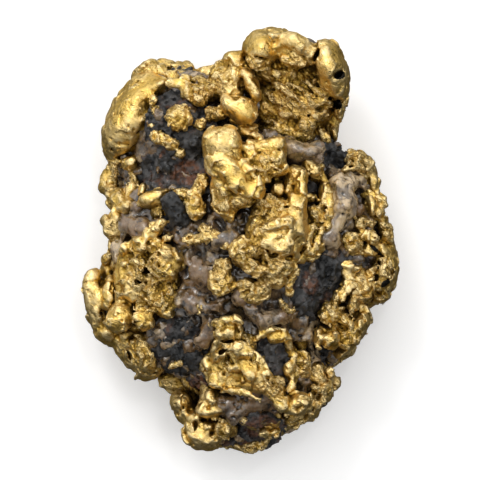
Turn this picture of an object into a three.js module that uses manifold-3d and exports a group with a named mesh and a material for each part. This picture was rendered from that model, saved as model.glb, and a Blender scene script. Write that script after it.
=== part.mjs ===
// Gold ore specimen: native gold grown through smoky quartz and ironstone, one natural piece.
// It lies on its back. Millimetres, +X across, +Y towards the crown, +Z up from the resting face.
// The origin is on the resting surface, under the middle of the outline.
import * as THREE from "three";
import { ImprovedNoise } from "three/addons/math/ImprovedNoise.js";
import { mergeVertices } from "three/addons/utils/BufferGeometryUtils.js";
import Module from "manifold-3d";

// Driving dimensions of the whole specimen.
const WIDTH = 47.9;
const LENGTH = 64.3;
const HEIGHT = 30.2;

// The resting face is a natural break across the bottom of the lobes, this far up their own scale.
const REST_CUT = 3.2;

// Relief of each lobe's skin, as a share of its mean radius, and the length of one bump.
const RELIEF_SHARE = 0.22;
const BUMP_LENGTH = 4.6;

// Facets along each icosahedron edge, for a big block and for a lump.
const BLOCK_DETAIL = 3;
const LUMP_DETAIL = 2;
const NUB_DETAIL = 1;

const GOLD_COLOUR = 0xc9a04a;
const GOLD_ROUGHNESS = 0.38;

const wasm = await Module();
wasm.setup();

// Rock blocks: quartz and ironstone, which the gold grew through.
// Each has its middle, its three radii and its turn about Z in degrees.
const BLOCKS = [
  { name: "heart", at: [-0.2, -2.6, 13.2], radii: [16.6, 21.5, 13.2], turn: 0 },
  { name: "upper_left_block", at: [-9.6, 15.0, 12.4], radii: [8.8, 9.6, 10.6], turn: 20 },
  { name: "right_block", at: [14.0, 0.6, 11.8], radii: [7.6, 12.0, 10.2], turn: 4 },
  { name: "foot_block", at: [2.6, -21.6, 11.2], radii: [10.2, 8.0, 10.0], turn: 12 },
  { name: "neck_block", at: [7.6, 14.8, 14.2], radii: [7.6, 6.2, 9.0], turn: 0 },
  { name: "lower_left_block", at: [-10.6, -12.8, 11.6], radii: [6.6, 10.2, 10.0], turn: 40 },
  { name: "left_wall", at: [-15.0, 3.4, 11.6], radii: [4.8, 9.0, 9.4], turn: -8 },
  { name: "saddle_block", at: [-0.2, 21.0, 13.0], radii: [8.0, 5.6, 8.6], turn: 20 },
];

// Gold lumps that stand out of the rock.
const LUMPS = [
  { name: "crown", at: [8.7, 23.3, 16.6], radii: [8.3, 8.4, 9.4], turn: 0 },
  { name: "crown_right_brow", at: [13.3, 24.9, 18.2], radii: [3.6, 5.4, 6.6], turn: 8 },
  { name: "crown_left_brow", at: [4.6, 28.4, 18.6], radii: [3.9, 3.4, 6.4], turn: 10 },
  { name: "left_shoulder", at: [-15.7, 16.9, 13.8], radii: [4.0, 8.8, 8.2], turn: -24 },
  { name: "shoulder_tip", at: [-13.0, 23.2, 14.2], radii: [3.4, 3.4, 6.6], turn: 0 },
  { name: "shoulder_foot", at: [-18.2, 9.6, 12.6], radii: [2.2, 4.6, 5.8], turn: 6 },
  { name: "top_nubs", at: [-7.6, 24.2, 13.8], radii: [3.6, 2.2, 5.4], turn: -6 },
  { name: "saddle_ridge", at: [-0.6, 21.8, 19.8], radii: [4.2, 3.4, 4.2], turn: 30 },
  { name: "knuckle_top", at: [-2.6, 13.2, 24.0], radii: [4.0, 3.8, 6.6], turn: 0 },
  { name: "knuckle_shaft", at: [-0.6, 7.8, 23.2], radii: [3.3, 5.4, 6.6], turn: 28 },
  { name: "knuckle_side", at: [3.8, 12.2, 22.4], radii: [4.2, 3.2, 6.2], turn: 0 },
  { name: "spine", at: [7.3, 5.0, 23.6], radii: [2.2, 6.0, 5.4], turn: -4 },
  { name: "belly", at: [4.7, -0.6, 24.6], radii: [4.6, 6.2, 6.4], turn: -12 },
  { name: "belly_toes", at: [1.8, -5.0, 25.2], radii: [3.5, 2.9, 4.6], turn: -24 },
  { name: "ring", at: [11.0, 4.2, 21.0], radii: [2.8, 7.6, 4.8], turn: -4 },
  { name: "sponge", at: [-13.9, -4.9, 19.0], radii: [6.2, 8.2, 7.8], turn: 8 },
  { name: "left_bulge", at: [-21.0, -8.8, 13.4], radii: [2.9, 5.0, 6.4], turn: 4 },
  { name: "left_strip", at: [-18.4, -0.4, 13.2], radii: [1.7, 6.0, 6.6], turn: -16 },
  { name: "right_crust", at: [20.2, -1.8, 13.0], radii: [3.7, 7.2, 7.8], turn: 4 },
  { name: "right_cap", at: [17.6, 8.8, 13.8], radii: [3.4, 4.9, 6.6], turn: 18 },
  { name: "right_skirt", at: [15.4, -12.4, 13.4], radii: [3.7, 7.0, 7.0], turn: -30 },
  { name: "foil", at: [-0.8, -16.6, 20.8], radii: [5.4, 5.9, 6.0], turn: 10 },
  { name: "foil_band", at: [7.0, -21.4, 17.0], radii: [5.4, 2.9, 5.2], turn: -42 },
  { name: "foot_left", at: [-4.2, -27.6, 14.2], radii: [4.3, 3.9, 6.4], turn: 0 },
  { name: "foot_tip", at: [2.2, -29.4, 11.8], radii: [4.2, 2.6, 5.4], turn: 8 },
  { name: "foot_right", at: [9.8, -22.0, 11.8], radii: [4.6, 4.3, 6.2], turn: 30 },
  { name: "lower_left_flank", at: [-15.6, -15.4, 12.4], radii: [3.0, 5.4, 6.2], turn: 40 },
];

// Small grains of gold on the outline.
const NUBS = [
  { name: "saddle_grain", at: [-1.7, 27.1, 16.4], radii: [1.5, 1.4, 1.6], turn: 0 },
  { name: "saddle_grain_low", at: [-3.7, 25.6, 16.0], radii: [1.6, 1.4, 1.6], turn: 0 },
  { name: "neck_grain", at: [14.4, 15.4, 15.0], radii: [1.4, 1.8, 2.2], turn: 0 },
];

const noise = new ImprovedNoise();

/** Turns a closed geometry into a manifold-3d solid. */
function solidOf(geometry) {
  const bare = geometry.clone();
  bare.deleteAttribute("normal");
  bare.deleteAttribute("uv");
  const merged = mergeVertices(bare, 1e-4);
  return new wasm.Manifold(
    new wasm.Mesh({
      numProp: 3,
      vertProperties: merged.getAttribute("position").array,
      triVerts: new Uint32Array(merged.index.array),
    }),
  );
}

/** Turns a manifold-3d solid back into a geometry with flat facets. */
function geometryOf(solid) {
  const mesh = solid.getMesh();
  const geometry = new THREE.BufferGeometry();
  geometry.setAttribute("position", new THREE.BufferAttribute(mesh.vertProperties, 3));
  geometry.setIndex(new THREE.BufferAttribute(mesh.triVerts, 1));
  return geometry;
}

/** One lobe: an ellipsoid whose skin swells and sinks, so that no two lobes are alike. */
function lobe({ at, radii, turn }, detail) {
  const ball = new THREE.IcosahedronGeometry(1, detail);
  const place = new THREE.Matrix4()
    .makeTranslation(...at)
    .multiply(new THREE.Matrix4().makeRotationZ(THREE.MathUtils.degToRad(turn)))
    .multiply(new THREE.Matrix4().makeScale(...radii));
  const middle = new THREE.Vector3(...at);
  const relief = (RELIEF_SHARE * (radii[0] + radii[1] + radii[2])) / 3;
  const points = ball.getAttribute("position");
  const point = new THREE.Vector3();
  for (let i = 0; i < points.count; i += 1) {
    point.fromBufferAttribute(points, i).applyMatrix4(place);
    const swell = noise.noise(
      point.x / BUMP_LENGTH,
      point.y / BUMP_LENGTH,
      point.z / BUMP_LENGTH,
    );
    const outward = point.clone().sub(middle).normalize();
    point.addScaledVector(outward, relief * swell);
    points.setXYZ(i, point.x, point.y, point.z);
  }
  return solidOf(ball);
}

/** All the lobes grown together, cut by the natural break that the specimen rests on. */
function specimenSolid() {
  const grown = [
    ...BLOCKS.map((block) => lobe(block, BLOCK_DETAIL)),
    ...LUMPS.map((lump) => lobe(lump, LUMP_DETAIL)),
    ...NUBS.map((nub) => lobe(nub, NUB_DETAIL)),
  ].reduce((whole, piece) => whole.add(piece));
  const reach = 2 * LENGTH;
  const below = new THREE.BoxGeometry(reach, reach, reach);
  below.translate(0, 0, REST_CUT - reach / 2);
  return grown.subtract(solidOf(below));
}

/** The specimen's geometry, fitted to the driving dimensions with the resting face at z = 0. */
function specimenGeometry() {
  const geometry = geometryOf(specimenSolid());
  geometry.computeBoundingBox();
  const { min, max } = geometry.boundingBox;
  geometry.translate(-(min.x + max.x) / 2, -(min.y + max.y) / 2, -min.z);
  geometry.scale(WIDTH / (max.x - min.x), LENGTH / (max.y - min.y), HEIGHT / (max.z - min.z));
  return geometry;
}

const specimen = new THREE.Group();
const ore = new THREE.Mesh(
  specimenGeometry(),
  new THREE.MeshStandardMaterial({
    color: GOLD_COLOUR,
    roughness: GOLD_ROUGHNESS,
    metalness: 1,
    flatShading: true,
  }),
);
ore.name = "gold_ore_specimen";
specimen.add(ore);

export default specimen;
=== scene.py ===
"""Gold ore specimen: native gold grown through smoky quartz and ironstone, lying on its broken back.

Each mass of gold, the quartz and the ironstone are modelled as clay: a block of space that holds how
far each point is from the skin. Lumps and strands are pressed in, pits and cracks are cut out, the skin
is roughened, and the clay is turned into a closed mesh. Design sizes are millimetres in the specimen's
own frame, and the finished clay is fitted to the frame.
"""

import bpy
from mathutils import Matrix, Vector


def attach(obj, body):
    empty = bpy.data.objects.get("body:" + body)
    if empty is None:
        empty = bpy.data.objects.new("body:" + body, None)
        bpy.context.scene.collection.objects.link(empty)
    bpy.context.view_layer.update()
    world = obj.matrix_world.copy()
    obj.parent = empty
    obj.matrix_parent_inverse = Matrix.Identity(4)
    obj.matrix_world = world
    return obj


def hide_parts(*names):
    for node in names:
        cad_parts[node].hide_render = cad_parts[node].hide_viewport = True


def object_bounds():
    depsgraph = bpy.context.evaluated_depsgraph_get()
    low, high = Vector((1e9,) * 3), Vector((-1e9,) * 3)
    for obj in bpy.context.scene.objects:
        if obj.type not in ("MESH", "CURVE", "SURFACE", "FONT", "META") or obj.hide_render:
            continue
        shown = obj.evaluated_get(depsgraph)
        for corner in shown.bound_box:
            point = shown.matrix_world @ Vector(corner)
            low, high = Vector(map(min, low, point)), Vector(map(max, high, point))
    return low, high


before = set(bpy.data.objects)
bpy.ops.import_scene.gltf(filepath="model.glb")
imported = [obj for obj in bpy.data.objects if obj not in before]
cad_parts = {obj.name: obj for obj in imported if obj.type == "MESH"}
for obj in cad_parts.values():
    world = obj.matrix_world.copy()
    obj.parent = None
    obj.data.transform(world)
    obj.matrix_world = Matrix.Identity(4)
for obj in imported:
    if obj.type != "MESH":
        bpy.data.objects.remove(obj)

import copy
import itertools
import logging
import math
from dataclasses import dataclass, field, replace
from enum import Enum
from functools import partial
from typing import Sequence

import bpy
import numpy as np
from mathutils import Vector
from mathutils.bvhtree import BVHTree

CAD_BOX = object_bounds()
NODE = "gold_ore_specimen"
BODY = "root"
MILLIMETRE = 0.001
# What clay holds where there is no shape near.
FAR = 3.0
# The room left round a shape that is pressed in.
BLEND_ROOM = 2.4
# The room left round these, and how rounded their edge is.
HOLE = (1.0, 0.15)
GROOVE = (0.8, 0.12)
BEAD = (0.8, 0.12)
PIT = (0.4, 0.08)
# The most that the relief of a skin sinks and stands out.
DEEPEST = 0.34
PROUDEST = 0.42
# The height that every mass is broken off at, and how far the clay reaches below it.
RESTING_FACE = 0.0
LOWEST = -0.6
# The width of skin that relief is worked into.
SKIN_BAND = 1.5
# The share and the size of each set of wrinkles in crumpled gold.
WRINKLES = ((0.75, 1.6), (0.5, 0.8))
# How far apart in the noise the parts of a relief are taken, so that they don't follow each other.
APART = {"crease": 11.3, "grain": 5.1, "crack": 61.0, "gape": 73.0}
FOLDS_APART = {"fold": 23.7, "drift": 17.0, "wrinkle": 31.0}
# How far a bend of the skin reaches, and how deep the sharpest crease is.
EDGE_REACH = 0.3
CREASE_DEPTH = 0.16
# A piece is thinned where it lies this deep in others, and this share of its faces goes there.
BURIED = -0.55
THINNED = 0.94

CORNERS = tuple(itertools.product((0, 1), repeat=3))
EDGES = tuple(pair for pair in itertools.combinations(CORNERS, 2) if sum(map(abs, np.subtract(*pair))) == 1)
AXES = (0, 1, 2)

LOG = logging.getLogger("gold_ore_specimen")
Array = np.ndarray
Point = tuple[float, float, float]
Window = tuple[slice, slice, slice]


class Mineral(Enum):
    """The record's material slots."""

    GOLD = "native_gold"
    QUARTZ = "smoky_quartz"
    IRONSTONE = "ironstone"


# Shapes that are pressed into the clay or cut out of it


@dataclass(frozen=True)
class Lump:
    """A lump, rounded or squarer. Its height is counted from the rock, unless the mass stands free."""

    at: Point
    radii: Point
    turn: float = 0.0
    soft: float = 0.5
    square: float = 2.0
    tilt: float = 0.0


@dataclass(frozen=True)
class Strand:
    """A rounded strand through points of (x, y, lift, radius)."""

    path: tuple[tuple[float, float, float, float], ...]
    soft: float = 0.4


@dataclass(frozen=True)
class Spot:
    """A ball of space in which something is done to the skin."""

    at: Point
    radius: float


@dataclass(frozen=True)
class Patch:
    """An area of the show face, seen from above: middle, half sizes and turn."""

    x: float
    y: float
    half_x: float
    half_y: float
    turn: float = 0.0

    def share(self, places: Array) -> Array:
        """How deep each place lies in the patch: 1 at its middle, 0 at its edge."""
        u, v = turned(places[:, 0] - self.x, places[:, 1] - self.y, self.turn)
        return 1 - np.sqrt((u / self.half_x) ** 2 + (v / self.half_y) ** 2)


Shape = Lump | Strand | Spot
Lumps = tuple[Lump, ...]
Strands = tuple[Strand, ...]
Spots = tuple[Spot, ...]
Patches = tuple[Patch, ...]


@dataclass(frozen=True)
class Relief:
    """How the skin of a mass is worked, in millimetres.

    The swell is a slow rise and fall, the crease sets rounded bulges between valleys, the plates are flat
    facets with small steps between them, and cracks are narrow grooves. The crumple sets smaller, steeper
    plates and folds where the mass is rough. Each of these is a height and a length. The folds have a
    turn, and how far they are drawn out. Pits, chips and cells are a count for each square centimetre of
    skin, and the smallest and the largest radius.
    """

    swell: tuple[float, float] = (0.3, 3.2)
    crease: tuple[float, float] = (0.14, 1.7)
    plates: tuple[float, float] = (0.42, 1.9)
    seam: float = 0.08
    crack: tuple[float, float] = (0.0, 2.6)
    crumple: tuple[float, float] = (0.5, 1.15)
    folds: tuple[float, float] = (0.0, 1.0)
    grain: tuple[float, float] = (0.05, 0.55)
    pits: tuple[float, float, float] = (8.0, 0.14, 0.26)
    chips: tuple[float, float, float] = (0.0, 0.7, 1.6)
    cells: tuple[float, float, float] = (0.0, 0.35, 0.75)


def turned(x: Array | float, y: Array | float, degrees: float) -> tuple[Array | float, Array | float]:
    """Offsets in plan, counted along axes that are turned by an angle."""
    angle = math.radians(degrees)
    return x * math.cos(angle) + y * math.sin(angle), y * math.cos(angle) - x * math.sin(angle)


def blend_min(old: Array, new: Array, soft: float) -> Array:
    """Joins two distances with a rounded valley between them.

    Args:
        old: distance to what is there.
        new: distance to what is added.
        soft: width of the rounding.

    Returns:
        Distance to the joined shape.
    """
    share = np.clip(0.5 + 0.5 * (old - new) / soft, 0, 1)
    return old + (new - old) * share - soft * share * (1 - share)


def ease_off(value: Array, full: float, none: float) -> Array:
    """A smooth step that is 1 at full and 0 at none."""
    share = np.clip((value - none) / (full - none), 0, 1)
    return share * share * (3 - 2 * share)


def belonging(places: Array, spots: Sequence[Spot]) -> Array:
    """How much each place belongs to any of the spots, from 0 to 1."""
    best = np.zeros(len(places), np.float32)
    for spot in spots:
        away = np.linalg.norm(places - np.asarray(spot.at, np.float32), axis=1)
        best = np.maximum(best, ease_off(away, 0.7 * spot.radius, 1.15 * spot.radius))
    return best


def lattice_over(axes: Sequence[Array], gap: float) -> tuple[list[Array], Array]:
    """A coarse lattice over finer axes: its own axes, and its places, one row each."""
    coarse = [np.arange(axis[0] - gap, axis[-1] + 2 * gap, gap).astype(np.float32) for axis in axes]
    return coarse, np.stack(np.meshgrid(*coarse, indexing="ij"), -1).reshape(-1, 3)


def fill_in(values: Array, coarse: Sequence[Array], fine: Sequence[Array]) -> Array:
    """Fills values in between, in straight lines.

    Args:
        values: one value for each place on the coarse lattice.
        coarse: the axes of that lattice.
        fine: the finer axes.

    Returns:
        One value for each place on the fine lattice.
    """
    values = values.reshape([len(axis) for axis in coarse])
    for axis in AXES:
        share = (fine[axis] - coarse[axis][0]) / (coarse[axis][1] - coarse[axis][0])
        left = np.clip(np.floor(share).astype(int), 0, len(coarse[axis]) - 2)
        matrix = np.zeros((len(share), len(coarse[axis])), np.float32)
        rows = np.arange(len(share))
        matrix[rows, left] = 1 - (share - left)
        matrix[rows, left + 1] = share - left
        values = np.moveaxis(np.tensordot(matrix, values, axes=(1, axis)), 0, axis)
    return values


def read_grid(grid: Array, scaled: Array) -> Array:
    """Reads a grid between its samples.

    Args:
        grid: one value for each sample.
        scaled: places counted in samples from the first, one row each.

    Returns:
        One value for each place. Places outside read the grid's edge.
    """
    scaled = np.clip(scaled, 0, np.asarray(grid.shape) - 1.001)
    cell = scaled.astype(int)
    inner = (scaled - cell).astype(np.float32)
    total = np.zeros(len(scaled), np.float32)
    for corner in CORNERS:
        share = np.float32(1)
        for axis in AXES:
            share = share * (inner[:, axis] if corner[axis] else 1 - inner[:, axis])
        total += share * grid[tuple((cell + corner).T)]
    return total


def part_of(axis: int, first: int, last: int | None) -> Window:
    """A part of one axis, and everything on the other two."""
    return tuple(slice(first, last) if own == axis else slice(None) for own in AXES)


class Lattice:
    """Chance that belongs to the cells of space, the same on every run."""

    size = 256

    def __init__(self, seed: int) -> None:
        """Shuffles the cells.

        Args:
            seed: which chance this is.
        """
        self.draw = np.random.default_rng(seed)
        self.order = self.draw.permutation(self.size).astype(np.int64)

    def keys(self, cells: Array) -> Array:
        """The number of the chance values that belong to each cell."""
        key = self.order[cells[:, 0] % self.size]
        for axis in (1, 2):
            key = self.order[(key + cells[:, axis]) % self.size]
        return key


class Noise(Lattice):
    """Smooth gradient noise."""

    gain = 1.8

    def __init__(self, seed: int) -> None:
        """Draws the lattice of slopes."""
        super().__init__(seed)
        slopes = self.draw.normal(size=(self.size, 3))
        self.slopes = (slopes / np.linalg.norm(slopes, axis=1)[:, None]).astype(np.float32)

    def __call__(self, points: Array, length: float) -> Array:
        """Samples the noise.

        Args:
            points: places in millimetres, one row each.
            length: the length of one wave.

        Returns:
            One value for each place, mostly between -1 and 1.
        """
        scaled = (points / np.float32(length)).astype(np.float32)
        cell = np.floor(scaled)
        inner = scaled - cell
        cell = cell.astype(np.int64)
        ease = inner * inner * inner * (inner * (inner * 6 - 15) + 10)
        total = np.zeros(len(points), np.float32)
        for corner in CORNERS:
            slope = self.slopes[self.keys(cell + corner)]
            rise = ((inner - np.asarray(corner, np.float32)) * slope).sum(axis=1)
            share = np.ones(len(points), np.float32)
            for axis in AXES:
                share *= ease[:, axis] if corner[axis] else 1 - ease[:, axis]
            total += rise * share
        return total * self.gain


class Facets(Lattice):
    """Flat facets that lean each its own way, with small steps between them."""

    def __init__(self, seed: int) -> None:
        """Draws how each facet lies."""
        super().__init__(seed)
        self.shift = self.draw.uniform(-0.42, 0.42, (self.size, 3)).astype(np.float32)
        self.lean = (0.55 * self.draw.normal(size=(self.size, 3))).astype(np.float32)
        self.rise = self.draw.uniform(-0.5, 0.5, self.size).astype(np.float32)

    def __call__(self, points: Array, length: float) -> tuple[Array, Array]:
        """Samples the facets.

        Args:
            points: places in millimetres, one row each.
            length: how far across a facet is.

        Returns:
            One height for each place, mostly between -1 and 1, and how far it is from the nearest seam
            between two facets, as a share of the length.
        """
        scaled = (points / length).astype(np.float32)
        base = np.floor(scaled - 0.5).astype(np.int64)
        nearest = np.full(len(points), np.inf, np.float32)
        second = nearest.copy()
        height = np.zeros(len(points), np.float32)
        for corner in CORNERS:
            cell = base + corner
            key = self.keys(cell)
            offset = scaled - (cell + 0.5) - self.shift[key]
            away = np.sqrt((offset * offset).sum(axis=1))
            here = self.rise[key] + (offset * self.lean[key]).sum(axis=1)
            closer = away < nearest
            second = np.where(closer, nearest, np.minimum(second, away))
            height = np.where(closer, here, height)
            nearest = np.where(closer, away, nearest)
        return height, second - nearest


class Clay:
    """A block of space that holds the distance to a piece's skin, negative inside."""

    sway_seed = 7
    sway_gap = 1.4
    sway_waves = ((37.0, 6.5, 1.0), (91.0, 3.1, 0.5))

    def __init__(self, low: Sequence[float], high: Sequence[float], step: float, sway: float) -> None:
        """Sets out the block.

        Args:
            low: lowest corner.
            high: highest corner.
            step: distance between samples.
            sway: how far noise moves the shapes that are pressed in.
        """
        self.step = step * 1.0
        self.low = np.floor(np.asarray(low, float) / self.step) * self.step
        counts = np.ceil((np.asarray(high, float) - self.low) / self.step).astype(int) + 1
        self.axes = [(self.low[a] + self.step * np.arange(counts[a])).astype(np.float32) for a in AXES]
        self.skin = np.full(tuple(counts), FAR, np.float32)
        self.rough: Spots = ()
        noise = Noise(self.sway_seed)
        coarse, places = lattice_over(self.axes, self.sway_gap)
        self.swayed = []
        for axis, own in enumerate(np.ix_(*self.axes)):
            waves = (gain * noise(places + far * (axis + 1), length) for far, length, gain in self.sway_waves)
            self.swayed.append((sway * fill_in(sum(waves), coarse, self.axes) + own).astype(np.float32))

    def twin(self) -> "Clay":
        """A second piece of clay with the same skin, which can be worked on its own."""
        twin = copy.copy(self)
        twin.skin = self.skin.copy()
        return twin

    def _window(self, low: Array, high: Array) -> Window:
        """The samples inside a box: none where the box misses the block."""
        ends = [np.searchsorted(self.axes[axis], (low[axis], high[axis])) for axis in AXES]
        return tuple(slice(int(first), int(last)) for first, last in ends)

    def _around(self, at: Point, reach: float) -> tuple[Window, Array]:
        """The window round a place, and the offsets from it."""
        centre = np.asarray(at, float)
        window = self._window(centre - reach, centre + reach)
        offsets = [self.axes[axis][window[axis]] - centre[axis] for axis in AXES]
        return window, np.asarray(np.meshgrid(*offsets, indexing="ij"))

    def _measure(self, shape: Lump | Strand, room: float) -> tuple[Window, Array]:
        """The window round a shape, with some room, and the distance to the shape there."""
        return self._lump(shape, room) if isinstance(shape, Lump) else self._strand(shape, room)

    def _lump(self, lump: Lump, room: float) -> tuple[Window, Array]:
        """Measures a lump.

        Args:
            lump: the shape.
            room: how far out from it to measure.

        Returns:
            The window round it, and the distance to it there.
        """
        reach = max(lump.radii) + room
        centre = np.asarray(lump.at, float)
        window = self._window(centre - reach, centre + reach)
        x, y, z = (self.swayed[axis][window] - centre[axis] for axis in AXES)
        x, y = turned(x, y, lump.turn)
        y, z = turned(y, z, lump.tilt)
        shares = [np.abs(offset / radius) + 1e-4 for offset, radius in zip((x, y, z), lump.radii)]
        power = lump.square
        near = sum(share**power for share in shares) ** (1 / power)
        slope = sum((share ** (power - 1) / radius) ** 2 for share, radius in zip(shares, lump.radii))
        return window, (near - 1) * near ** (power - 1) / np.sqrt(slope + 1e-8)

    def _strand(self, strand: Strand, room: float) -> tuple[Window, Array]:
        """Measures a strand.

        Args:
            strand: the shape.
            room: how far out from it to measure.

        Returns:
            The window round it, and the distance to it there.
        """
        path = np.asarray(strand.path, float)
        reach = path[:, 3:].max() + room
        window = self._window(path[:, :3].min(axis=0) - reach, path[:, :3].max(axis=0) + reach)
        parts = []
        for start, end in itertools.pairwise(path):
            along = end[:3] - start[:3]
            offset = [self.swayed[axis][window] - start[axis] for axis in AXES]
            share = sum(offset[axis] * along[axis] for axis in AXES) / max(along @ along, 1e-6)
            share = np.clip(share, 0, 1)
            square = sum((offset[axis] - share * along[axis]) ** 2 for axis in AXES)
            parts.append(np.sqrt(square) - (start[3] + share * (end[3] - start[3])))
        return window, np.minimum.reduce(parts).astype(np.float32)

    def press(self, shape: Lump | Strand, room: float = BLEND_ROOM) -> None:
        """Presses a lump or a strand in."""
        window, distance = self._measure(shape, room)
        self.skin[window] = blend_min(self.skin[window], distance, shape.soft)

    def cut(self, shape: Lump | Strand) -> None:
        """Cuts a lump's shape out as a hole, or a strand's as a groove."""
        room, soft = HOLE if isinstance(shape, Lump) else GROOVE
        window, distance = self._measure(shape, room)
        self.skin[window] = -blend_min(-self.skin[window], distance, soft)

    def bead(self, at: Point, radius: float) -> None:
        """Sets a small ball on the skin."""
        window, offsets = self._around(at, radius + BEAD[0])
        distance = np.sqrt((offsets**2).sum(axis=0)) - radius
        self.skin[window] = blend_min(self.skin[window], distance, BEAD[1])

    def pit(self, at: Point, radius: float) -> None:
        """Cuts a small ball out of the skin."""
        window, offsets = self._around(at, radius + PIT[0])
        distance = np.sqrt((offsets**2).sum(axis=0)) - radius
        self.skin[window] = -blend_min(-self.skin[window], distance, PIT[1])

    def chip(self, at: Point, away: Array, radius: float) -> None:
        """Chips off a flat facet with its middle at a place, facing away, and fading past a radius."""
        window, offsets = self._around(at, 1.6 * radius)
        above = sum(offset * share for offset, share in zip(offsets, away))
        beyond = np.sqrt((offsets**2).sum(axis=0)) - radius
        self.skin[window] = np.maximum(self.skin[window], above - 2.2 * np.maximum(beyond, 0))

    def trim_below(self, height: float) -> None:
        """Breaks everything off below a height."""
        self.skin = np.maximum(self.skin, (height - self.axes[2]).reshape(1, 1, -1))

    def _places(self, numbers: Sequence[Array]) -> Array:
        """The places of samples, one row each, from their numbers along each axis."""
        return np.stack([self.axes[axis][numbers[axis]] for axis in AXES], 1)

    def band(self, width: float) -> tuple[Array, Array]:
        """The flat numbers of the samples that are nearer to the skin than a width, and their places."""
        numbers = np.flatnonzero(np.abs(self.skin) < width)
        return numbers, self._places(np.unravel_index(numbers, self.skin.shape))

    def skin_samples(self, count: int, draw: np.random.Generator) -> tuple[Array, Array]:
        """Picks places on the skin at random.

        Args:
            count: how many.
            draw: the source of chance.

        Returns:
            The places, and the outward directions there.
        """
        inner = self.skin[1:-1, 1:-1, 1:-1]
        numbers = np.flatnonzero(np.abs(inner) < 0.5 * self.step)
        if not len(numbers) or count <= 0:
            return np.zeros((0, 3)), np.zeros((0, 3))
        picked = draw.choice(numbers, size=min(count, len(numbers)), replace=False)
        middle = np.asarray(np.unravel_index(picked, inner.shape)) + 1
        ways = np.eye(3, dtype=int)[:, :, None]
        slope = np.stack([self.skin[tuple(middle + way)] - self.skin[tuple(middle - way)] for way in ways], 1)
        slope /= np.maximum(np.linalg.norm(slope, axis=1), 1e-6)[:, None]
        return self._places(middle), slope

    def skin_area(self) -> float:
        """The area of the skin in square centimetres, roughly."""
        return float(np.count_nonzero(np.abs(self.skin) < 0.5 * self.step)) * self.step**2 / 100

    def sample(self, points: Array) -> Array:
        """The distance at any places, and FAR outside the block."""
        scaled = (points - self.low) / self.step
        outside = ((scaled < 0) | (scaled > np.asarray(self.skin.shape) - 1.001)).any(axis=1)
        return np.where(outside, np.float32(FAR), read_grid(self.skin, scaled))

    def smoothed(self) -> "Clay":
        """A twin with its sharp edges and creases evened out."""
        twin = self.twin()
        skin = twin.skin
        for _ in range(max(2, round((EDGE_REACH / self.step) ** 2 * 2))):
            for axis in AXES:
                inner, before, after = (part_of(axis, *ends) for ends in ((1, -1), (0, -2), (2, None)))
                skin[inner] = 0.5 * skin[inner] + 0.25 * (skin[before] + skin[after])
        return twin


def skin_mesh(clay: Clay) -> tuple[Array, Array]:
    """Turns clay into a closed mesh, with one point in each cell that the skin crosses.

    Args:
        clay: the modelled piece.

    Returns:
        The points in millimetres, and the four-sided faces.
    """
    skin = clay.skin.copy()
    for axis in AXES:
        for outside in (part_of(axis, 0, 1), part_of(axis, -1, None)):
            skin[outside] = np.maximum(skin[outside], clay.step)
    inside = skin < 0
    size = tuple(np.asarray(skin.shape) - 1)
    full = np.zeros(size, np.uint8)
    for corner in CORNERS:
        full += inside[tuple(slice(c, c + n) for c, n in zip(corner, size))]
    crossed = (full > 0) & (full < len(CORNERS))
    cells = np.argwhere(crossed)
    number = np.full(size, -1, np.int32)
    number[crossed] = np.arange(len(cells), dtype=np.int32)
    values = {corner: skin[tuple((cells + corner).T)] for corner in CORNERS}
    points = np.zeros((len(cells), 3), np.float32)
    hits = np.zeros(len(cells), np.float32)
    for start, end in EDGES:
        first, second = values[start], values[end]
        cross = (first < 0) != (second < 0)
        share = first[cross] / (first[cross] - second[cross])
        start, end = np.asarray((start, end), np.float32)
        points[cross] += start + share[:, None] * (end - start)
        hits[cross] += 1
    points = (cells + points / hits[:, None]) * clay.step + clay.low
    return points.astype(np.float32), net_faces(inside, number)


def net_faces(inside: Array, number: Array) -> Array:
    """One four-sided face for each grid edge that the skin crosses, facing out.

    Args:
        inside: which samples lie in the clay.
        number: the number of the point in each cell.

    Returns:
        Four point numbers for each face.
    """
    faces = []
    for axis in AXES:
        here, there = [slice(1, -1)] * 3, [slice(1, -1)] * 3
        here[axis], there[axis] = slice(0, -1), slice(1, None)
        inner = inside[tuple(here)]
        edges = np.argwhere(inner != inside[tuple(there)])
        around = []
        for across, up in ((0, 0), (1, 0), (1, 1), (0, 1)):
            cell = edges.copy()
            cell[:, (axis + 1) % 3] += across
            cell[:, (axis + 2) % 3] += up
            around.append(number[tuple(cell.T)])
        quads = np.stack(around, 1)
        entering = ~inner[tuple(edges.T)]
        quads[entering] = quads[entering][:, ::-1]
        faces.append(quads)
    return np.concatenate(faces)


def drop_crumbs(points: Array, faces: Array, fewest: int) -> tuple[Array, Array]:
    """Leaves out loose crumbs of the mesh.

    Args:
        points: the mesh's points.
        faces: its four-sided faces.
        fewest: a loose part with fewer points than this is a crumb.

    Returns:
        The points and faces that stay.
    """
    label = np.arange(len(points))
    pairs = np.concatenate([faces[:, [0, 1]], faces[:, [1, 2]], faces[:, [2, 3]]])
    while True:
        least = label[pairs].min(axis=1)
        joined = label.copy()
        for end in (0, 1):
            np.minimum.at(joined, label[pairs[:, end]], least)
        while not np.array_equal(joined[joined], joined):
            joined = joined[joined]
        if np.array_equal(joined, label):
            break
        label = joined
    keep = np.bincount(label, minlength=len(points))[label] >= fewest
    renumber = np.cumsum(keep) - 1
    return points[keep], renumber[faces[keep[faces[:, 0]]]]


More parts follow.
